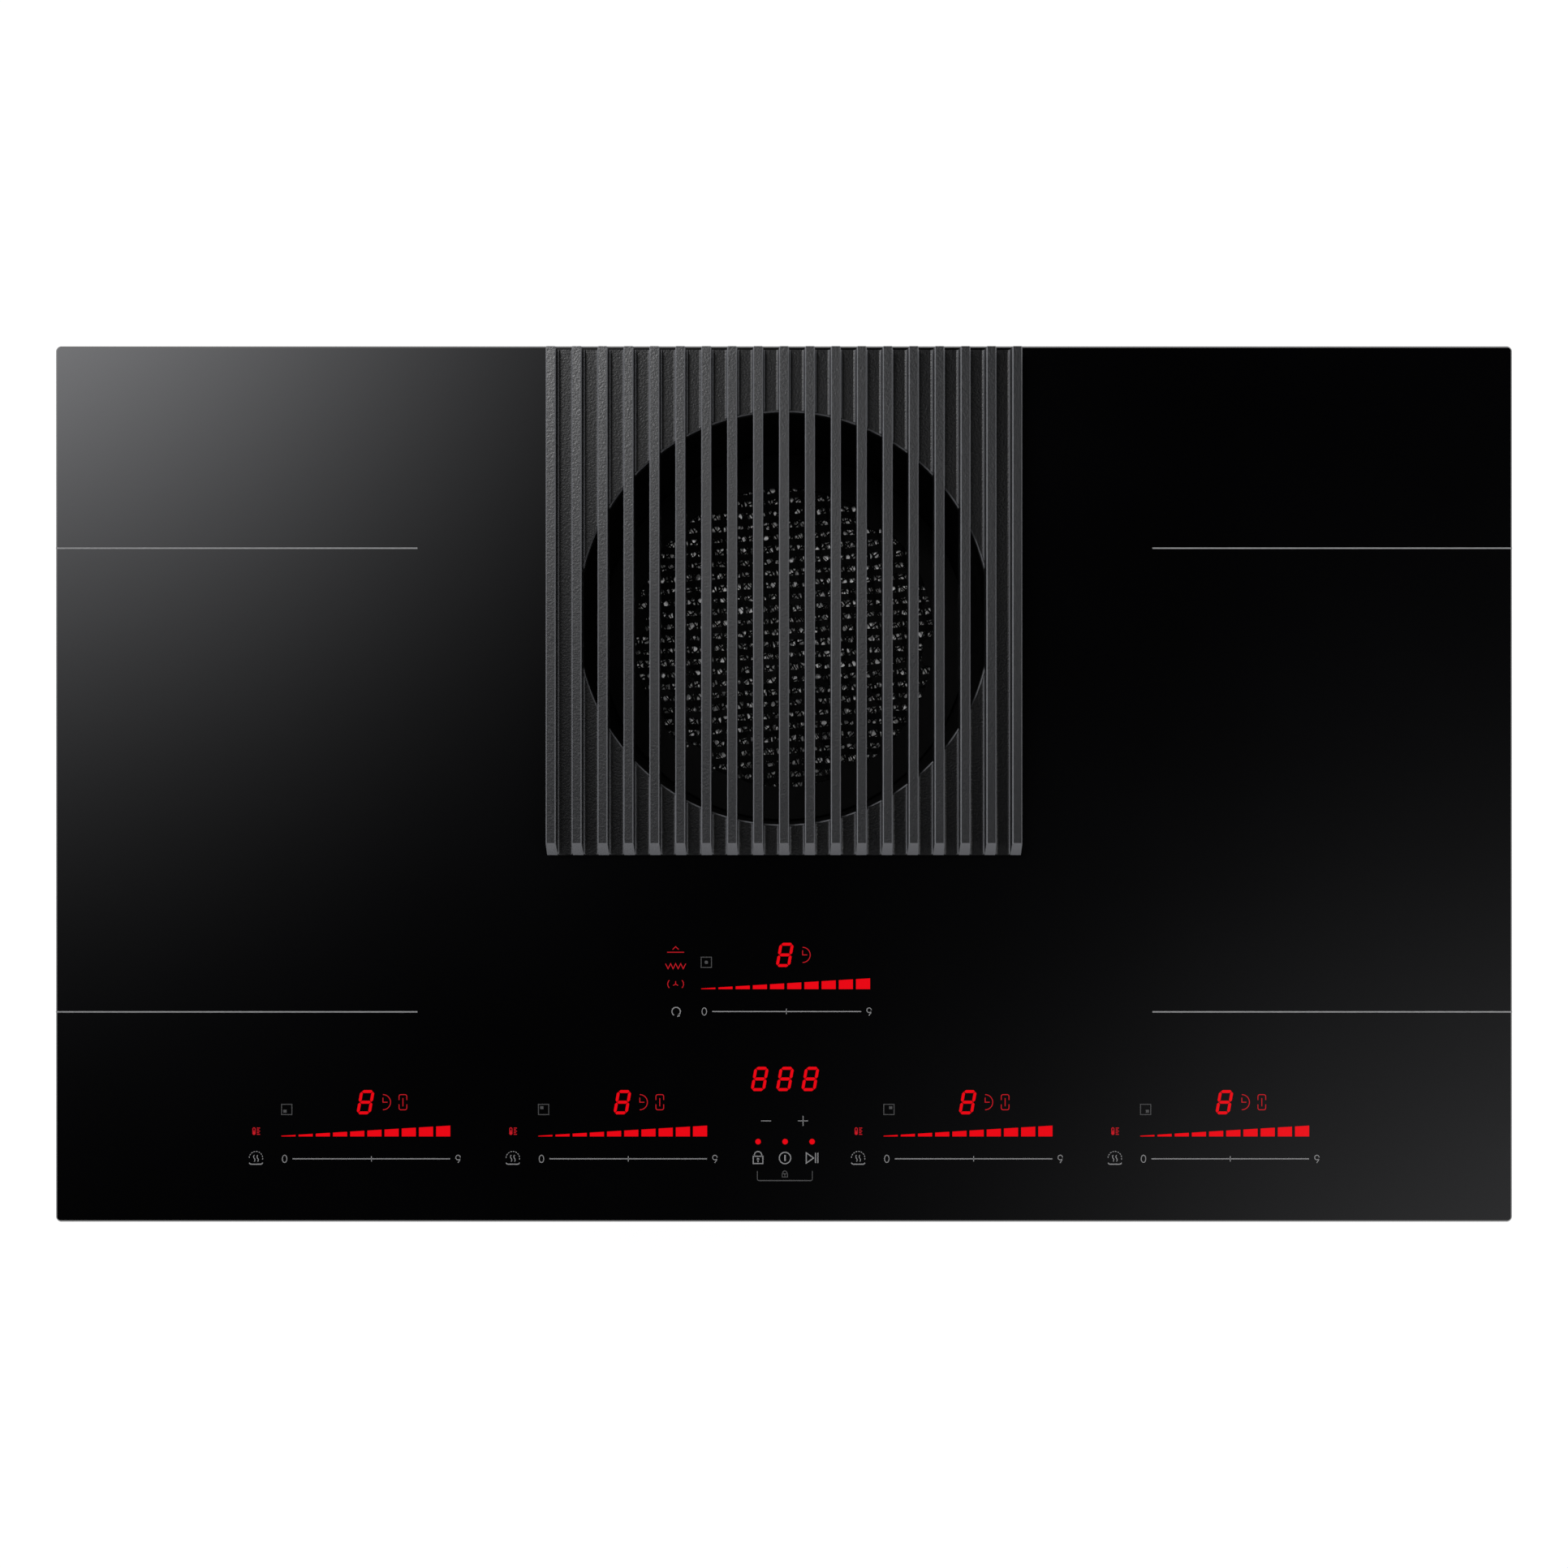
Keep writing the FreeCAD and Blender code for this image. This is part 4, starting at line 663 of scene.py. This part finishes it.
def draw_timer(grey, dark, red):
    """Timer's three digits, its two keys and the three keys under it."""
    for x in TIMER_X:
        eight(red.at(x, TIMER_Y))
        red.at(0, 0).disc(x * LAMP_SPREAD, LAMP_Y, LAMP_RADIUS)
    grey.at(0, 0)
    for x in (MINUS_X, PLUS_X):
        grey.path([(x - SIGN_HALF, SIGN_Y), (x + SIGN_HALF, SIGN_Y)], HAIR)
    grey.path([(PLUS_X, SIGN_Y - SIGN_HALF), (PLUS_X, SIGN_Y + SIGN_HALF)], HAIR)
    padlock(grey, *LOCK_KEY)
    power_sign(grey, *POWER_KEY)
    pause_sign(grey, *PAUSE_KEY)
    dark.at(0, 0)
    corner = BRACKET_LOW + BRACKET_TURN
    for side, x in ((-1, BRACKET_LEFT), (1, BRACKET_RIGHT)):
        dark.path([(x, BRACKET_TOP), (x, corner)], HAIR)
        middle = x - side * BRACKET_TURN
        dark.arc(middle, corner, BRACKET_TURN, HAIR, 270 + side * 90, 270, 6)
    dark.path([(BRACKET_LEFT + BRACKET_TURN, BRACKET_LOW),
               (BRACKET_RIGHT - BRACKET_TURN, BRACKET_LOW)], FINE)
    padlock(dark, **SMALL_LOCK)


def draw_marks():
    """All that shows on the glass."""
    grey, dark, red, dim = Marks(), Marks(), Marks(), Marks()
    draw_zones(grey, dark, red, dim)
    draw_extractor(grey, dark, red, dim)
    draw_timer(grey, dark, red)
    grey.piece("printed_marks", "print_grey")
    dark.piece("printed_marks_dark", "print_dark")
    red.piece("lit_digits", "lit_red", "lamp_module")
    dim.piece("lit_signs", "lit_dim", "lamp_module")


def add_strip(bm, start, end, z, width, thick, lean):
    """Flat bar between two points of the filter, turned about its own length."""
    way = (end - start).normalized()
    across = Vector((-way.y * math.cos(lean), way.x * math.cos(lean), math.sin(lean)))
    normal = Vector((way.x, way.y, 0)).cross(across)
    corners = []
    for spot in (start - way * width / 4, end + way * width / 4):
        middle = Vector((spot.x, spot.y, z))
        for a, b in ((-1, -1), (1, -1), (1, 1), (-1, 1)):
            point = middle + across * (a * width / 2) + normal * (b * thick / 2)
            corners.append(bm.verts.new((point.x * MM, INLET_Y + point.y * MM, point.z * MM)))
    for k in range(4):
        n = (k + 1) % 4
        bm.faces.new((corners[k], corners[n], corners[4 + n], corners[4 + k]))
    bm.faces.new(corners[3::-1])
    bm.faces.new(corners[4:])


def expand(bm, rng, radius, z, pitch, row, bond, width, slim=1.0, lean=15, turn=0.0,
           shift=(0, 0), shake=0.5, loose=12):
    """One expanded metal sheet: upright bonds in staggered rows, with slanting strands between.

    slim narrows the strands that slant to the right. lean and loose are in degrees: the tilt of
    the strands and how far it varies. turn is in radians."""
    spin = Matrix.Rotation(turn, 2)
    columns, rows = int(2 * radius / pitch) + 3, int(radius / row) + 3
    knots = {}
    for j in range(-rows, rows + 1):
        for i in range(-columns, columns + 1):
            if (i + j) % 2 == 0:
                x = i * pitch / 2 + shift[0] + rng.uniform(-shake, shake)
                y = j * row + shift[1] + rng.uniform(-shake, shake)
                ends = Vector((x, y - bond / 2)), Vector((x, y + bond / 2))
                knots[i, j] = spin @ ends[0], spin @ ends[1]
    strips = [(low, high, 0) for low, high in knots.values() if bond]
    for (i, j), (low, high) in knots.items():
        strips += [(high, knots[i + way, j + 1][0], way)
                   for way in (-1, 1) if (i + way, j + 1) in knots]
    for start, end, way in strips:
        if max(start.length, end.length) < radius:
            tilt = math.radians(way * lean + rng.uniform(-loose, loose))
            level = z + rng.uniform(-STRAND_STRAY, STRAND_STRAY)
            broad = width * slim if way > 0 else width
            add_strip(bm, start, end, level, broad, STRAND, tilt)


def make_filter_net():
    """Stack of expanded metal in the filter's frame."""
    low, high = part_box("filter_mesh")
    radius = (high.x - low.x) / 2 / MM - NET_ROOM
    top = high.z / MM
    rng = random.Random(NET_SEED)
    for name, (finish, sheets) in NET.items():
        bm = bmesh.new()
        for sheet in sheets:
            sizes = {key: size for key, size in sheet.items() if key != "depth"}
            expand(bm, rng, radius, top - sheet["depth"], **sizes)
        piece = add_piece(name, to_mesh(name, bm), finish, "filter")
        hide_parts("filter_mesh")


def loft(bm, rings, around=False):
    """Skin over rings of points, capped at its two ends or joined round."""
    rows = [[bm.verts.new(point * MM) for point in ring] for ring in rings]
    for a, b in zip(rows, rows[1:] + rows[:1] if around else rows[1:]):
        for k in range(len(a)):
            n = (k + 1) % len(a)
            bm.faces.new((a[k], a[n], b[n], b[k]))
    if not around:
        bm.faces.new(rows[0][::-1])
        bm.faces.new(rows[-1])


def make_rib_feet():
    """Hollow fillets where the grille's ribs meet its plate, from its ends to the round hole."""
    low, high = (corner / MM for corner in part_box("grille"))
    floor, middle = low.z + RIB_PLATE, INLET_Y / MM
    pitch = (high.x - low.x - RIB_BASE) / (RIB_COUNT - 1)
    turns = [math.radians(t) for t in FOOT_STEPS]
    hollow = [(FOOT_RADIUS * (1 - math.sin(t)), FOOT_RADIUS * (1 - math.cos(t))) for t in turns]
    section = [(FOOT_RADIUS, -FOOT_IN_PLATE), *hollow, (-FOOT_IN_RIB, FOOT_RADIUS),
               (-FOOT_IN_RIB, -FOOT_IN_PLATE)]
    bm = bmesh.new()
    # The two outermost walls of the grille have no foot
    for k in range(1, 2 * RIB_COUNT - 1):
        side = 1 if k % 2 else -1
        wall = low.x + k // 2 * pitch + (RIB_BASE if side > 0 else 0)
        front, rear, near, far = [], [], [], []
        for out, up in section:
            x, z = wall + side * out, floor + up
            gap = math.sqrt(max(GRILLE_HOLE ** 2 - x * x, 0))
            front.append(Vector((x, low.y + FOOT_FRONT + max(up, 0) * RIB_SLOPE, z)))
            rear.append(Vector((x, high.y - FOOT_REAR, z)))
            near.append(Vector((x, middle - gap, z)))
            far.append(Vector((x, middle + gap, z)))
        whole = min(abs(point.x) for point in front) > GRILLE_HOLE
        for rings in [(front, rear)] if whole else [(front, near), (far, rear)]:
            loft(bm, rings)
    add_piece("rib_feet", to_mesh("rib_feet", bm), "grille_coat", "grille")


def turned(place, way, radius, height, steps=36):
    """Ring about an axis, of a radius that may change with the angle."""
    up = Vector(way)
    side = up.orthogonal().normalized()
    across = up.cross(side)
    turns = [2 * math.pi * k / steps for k in range(steps)]
    return [place + up * height + (side * math.cos(t) + across * math.sin(t)) * radius(t)
            for t in turns]


def add_screw(bm, place, way):
    """Flanged screw with a six-lobed socket."""
    loft(bm, [turned(Vector(place), way,
                     lambda t: radius * (1 + lobing * math.cos(SCREW_LOBES * t)), height)
              for radius, height, lobing in SCREW_RINGS])


def add_bead(bm, start, end, way):
    """Pressed stiffening bead with round ends."""
    start, end, up = Vector(start), Vector(end), Vector(way)
    along = (end - start).normalized()
    across = up.cross(along)
    rings = []
    for half, height in BEAD_RINGS:
        ring = []
        for middle, first in ((end, -90), (start, 90)):
            for k in range(BEAD_STEPS + 1):
                t = math.radians(first + 180 * k / BEAD_STEPS)
                out = along * math.cos(t) + across * math.sin(t)
                ring.append(middle + up * height + out * half)
        rings.append(ring)
    loft(bm, rings)


def add_cap(bm):
    """Six-sided cap on the end of the cable gland, open along the bore."""
    low, high = (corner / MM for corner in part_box("cable_gland"))
    middle = Vector(((low.x + high.x) / 2, 0, (low.z + high.z) / 2))
    barrel = (high.x - low.x) / 2 - GLAND_STEP
    foot, end, sixth = high.y - CAP_LENGTH, high.y + CAP_LIP, math.pi / 3

    def flat(t):
        return CAP_FLAT / math.cos((t + sixth / 2) % sixth - sixth / 2)

    outline = [(lambda t: barrel, foot), (lambda t: flat(t) - CAP_CHAMFER, foot),
               (flat, foot + CAP_CHAMFER), (flat, high.y - CAP_CONE), (lambda t: CAP_FACE, end),
               (lambda t: CAP_HOLE, end), (lambda t: CAP_HOLE, high.y), (lambda t: barrel, high.y)]
    loft(bm, [turned(middle, (0, 1, 0), radius, height) for radius, height in outline], True)


def make_fittings():
    """Screws and pressed beads of the pan, and the gland's cap."""
    low, high = (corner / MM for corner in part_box("base_pan"))
    x, y = high.x - FLANGE, high.y - FLANGE
    level, rise = high.z - SCREW_DROP, low.z + BEAD_RISE
    screws, beads, cap = (bmesh.new() for _ in range(3))
    for side in (-1, 1):
        for along in SCREWS_FRONT:
            add_screw(screws, (side * along, -y, level), (0, -1, 0))
        for along in SCREWS_REAR:
            add_screw(screws, (side * along, y, level), (0, 1, 0))
        for along in SCREWS_SIDE:
            add_screw(screws, (side * x, along, level), (side, 0, 0))
        for across in SCREWS_BELOW_Y:
            add_screw(screws, (side * SCREWS_BELOW_X, across, low.z), (0, 0, -1))
        for across in BEADS_BELOW_Y:
            start, end = ((side * reach, across, low.z) for reach in BEADS_BELOW_X)
            add_bead(beads, start, end, (0, 0, -1))
        add_bead(beads, (side * x, -BEAD_SIDE, rise), (side * x, BEAD_SIDE, rise), (side, 0, 0))
    for start, end in BEADS_FRONT:
        add_bead(beads, (start, -y, rise), (end, -y, rise), (0, -1, 0))
    add_cap(cap)
    for name, bm, finish in (("pan_screws", screws, "bright_steel"),
                             ("pan_beads", beads, "zinc_steel"),
                             ("gland_cap", cap, "black_plastic")):
        add_piece(name, to_mesh(name, bm), finish)


def make_camera():
    """Camera straight above the middle of the glass."""
    data = bpy.data.cameras.new("camera")
    data.lens = LENS
    data.sensor_width = SENSOR
    data.clip_start = CLIP_START
    camera = bpy.data.objects.new("camera", data)
    camera.location = (0, 0, GLASS_Z + CAMERA_HEIGHT)
    bpy.context.scene.collection.objects.link(camera)
    bpy.context.scene.camera = camera


def make_floor():
    """Pale floor that stays white to the eye, keeps a soft shadow and is open from below."""
    bm = bmesh.new()
    bmesh.ops.create_grid(bm, x_segments=2, y_segments=2, size=FLOOR_SIZE)
    mesh = to_mesh("floor", bm, outward=False)
    floor = bpy.data.objects.new("floor", mesh)
    floor.location.z = cad_box[0][2] - FLOOR_GAP
    bpy.context.scene.collection.objects.link(floor)
    made, tree, shader = material("floor", FLOOR_ROUGHNESS)
    tree.links.new(ramp(tree, noise(tree, FLOOR_PATCH), *FLOOR_TONES), shader.inputs["Base Color"])
    rays = tree.nodes.new("ShaderNodeLightPath").outputs
    seen = calculate(tree, "MAXIMUM", rays["Is Camera Ray"], rays["Is Glossy Ray"])
    seen = calculate(tree, "MAXIMUM", seen, rays["Is Transmission Ray"])
    white = tree.nodes.new("ShaderNodeEmission")
    white.inputs["Strength"].default_value = FLOOR_GLOW
    share = calculate(tree, "MULTIPLY", seen, FLOOR_GLOW_SHARE)
    above = mix_shaders(tree, share, shader.outputs["BSDF"], white.outputs["Emission"])
    below = tree.nodes.new("ShaderNodeNewGeometry").outputs["Backfacing"]
    clear = tree.nodes.new("ShaderNodeBsdfTransparent").outputs["BSDF"]
    one_way = mix_shaders(tree, below, above, clear)
    tree.links.new(one_way, tree.nodes["Material Output"].inputs["Surface"])
    mesh.materials.append(made)


def agreement(tree, place, way):
    """Cosine between a direction of the world and a way."""
    dot = tree.nodes.new("ShaderNodeVectorMath")
    dot.operation = "DOT_PRODUCT"
    dot.inputs[1].default_value = way
    tree.links.new(place, dot.inputs[0])
    return dot.outputs["Value"]


def lobe(tree, place, way, sharpness, light):
    """Soft light round a direction."""
    cosine = agreement(tree, place, way.normalized())
    fall = calculate(tree, "MULTIPLY_ADD", cosine, sharpness, -sharpness)
    return calculate(tree, "MULTIPLY", calculate(tree, "EXPONENT", fall), light)


def make_world():
    """World light by direction, with white behind the object to the eye."""
    world = bpy.data.worlds.new("studio")
    world.use_nodes = True
    tree = world.node_tree
    place = tree.nodes.new("ShaderNodeTexCoord").outputs["Generated"]
    sky = by_height(tree, place, HORIZON_FROM, HORIZON_TO, HORIZON, 0.0, "SMOOTHSTEP")
    gain = calculate(tree, "MULTIPLY_ADD", agreement(tree, place, HORIZON_WAY), HORIZON_GAIN, 1.0)
    total = calculate(tree, "MULTIPLY", sky, gain)
    for light in (lobe(tree, place, KEY_WAY, KEY_SHARPNESS, KEY_LIGHT),
                  lobe(tree, place, FILL_WAY, FILL_SHARPNESS, FILL_LIGHT)):
        total = calculate(tree, "ADD", total, light)
    studio = tree.nodes["Background"]
    tree.links.new(total, studio.inputs["Strength"])
    studio.inputs["Color"].default_value = SKY_TINT
    white = tree.nodes.new("ShaderNodeBackground")
    white.inputs["Color"].default_value = (1.0, 1.0, 1.0, 1.0)
    seen = tree.nodes.new("ShaderNodeLightPath").outputs["Is Camera Ray"]
    both = mix_shaders(tree, seen, studio.outputs["Background"], white.outputs["Background"])
    tree.links.new(both, tree.nodes["World Output"].inputs["Surface"])
    bpy.context.scene.world = world


def make_soft_boxes():
    """Area lamps turned to the grille."""
    target = Vector((0, INLET_Y, GLASS_Z))
    for name, (place, size, power) in SOFT_BOXES.items():
        lamp = bpy.data.lights.new(name, "AREA")
        lamp.shape = "RECTANGLE"
        lamp.size, lamp.size_y = size
        lamp.energy = power
        box = bpy.data.objects.new(name, lamp)
        box.location = place
        box.rotation_euler = (Vector(place) - target).to_track_quat("Z", "Y").to_euler()
        bpy.context.scene.collection.objects.link(box)


bpy.context.scene.view_settings.view_transform = "Standard"
dress_nodes()
draw_marks()
make_filter_net()
make_rib_feet()
make_fittings()
make_camera()
make_floor()
make_world()
make_soft_boxes()
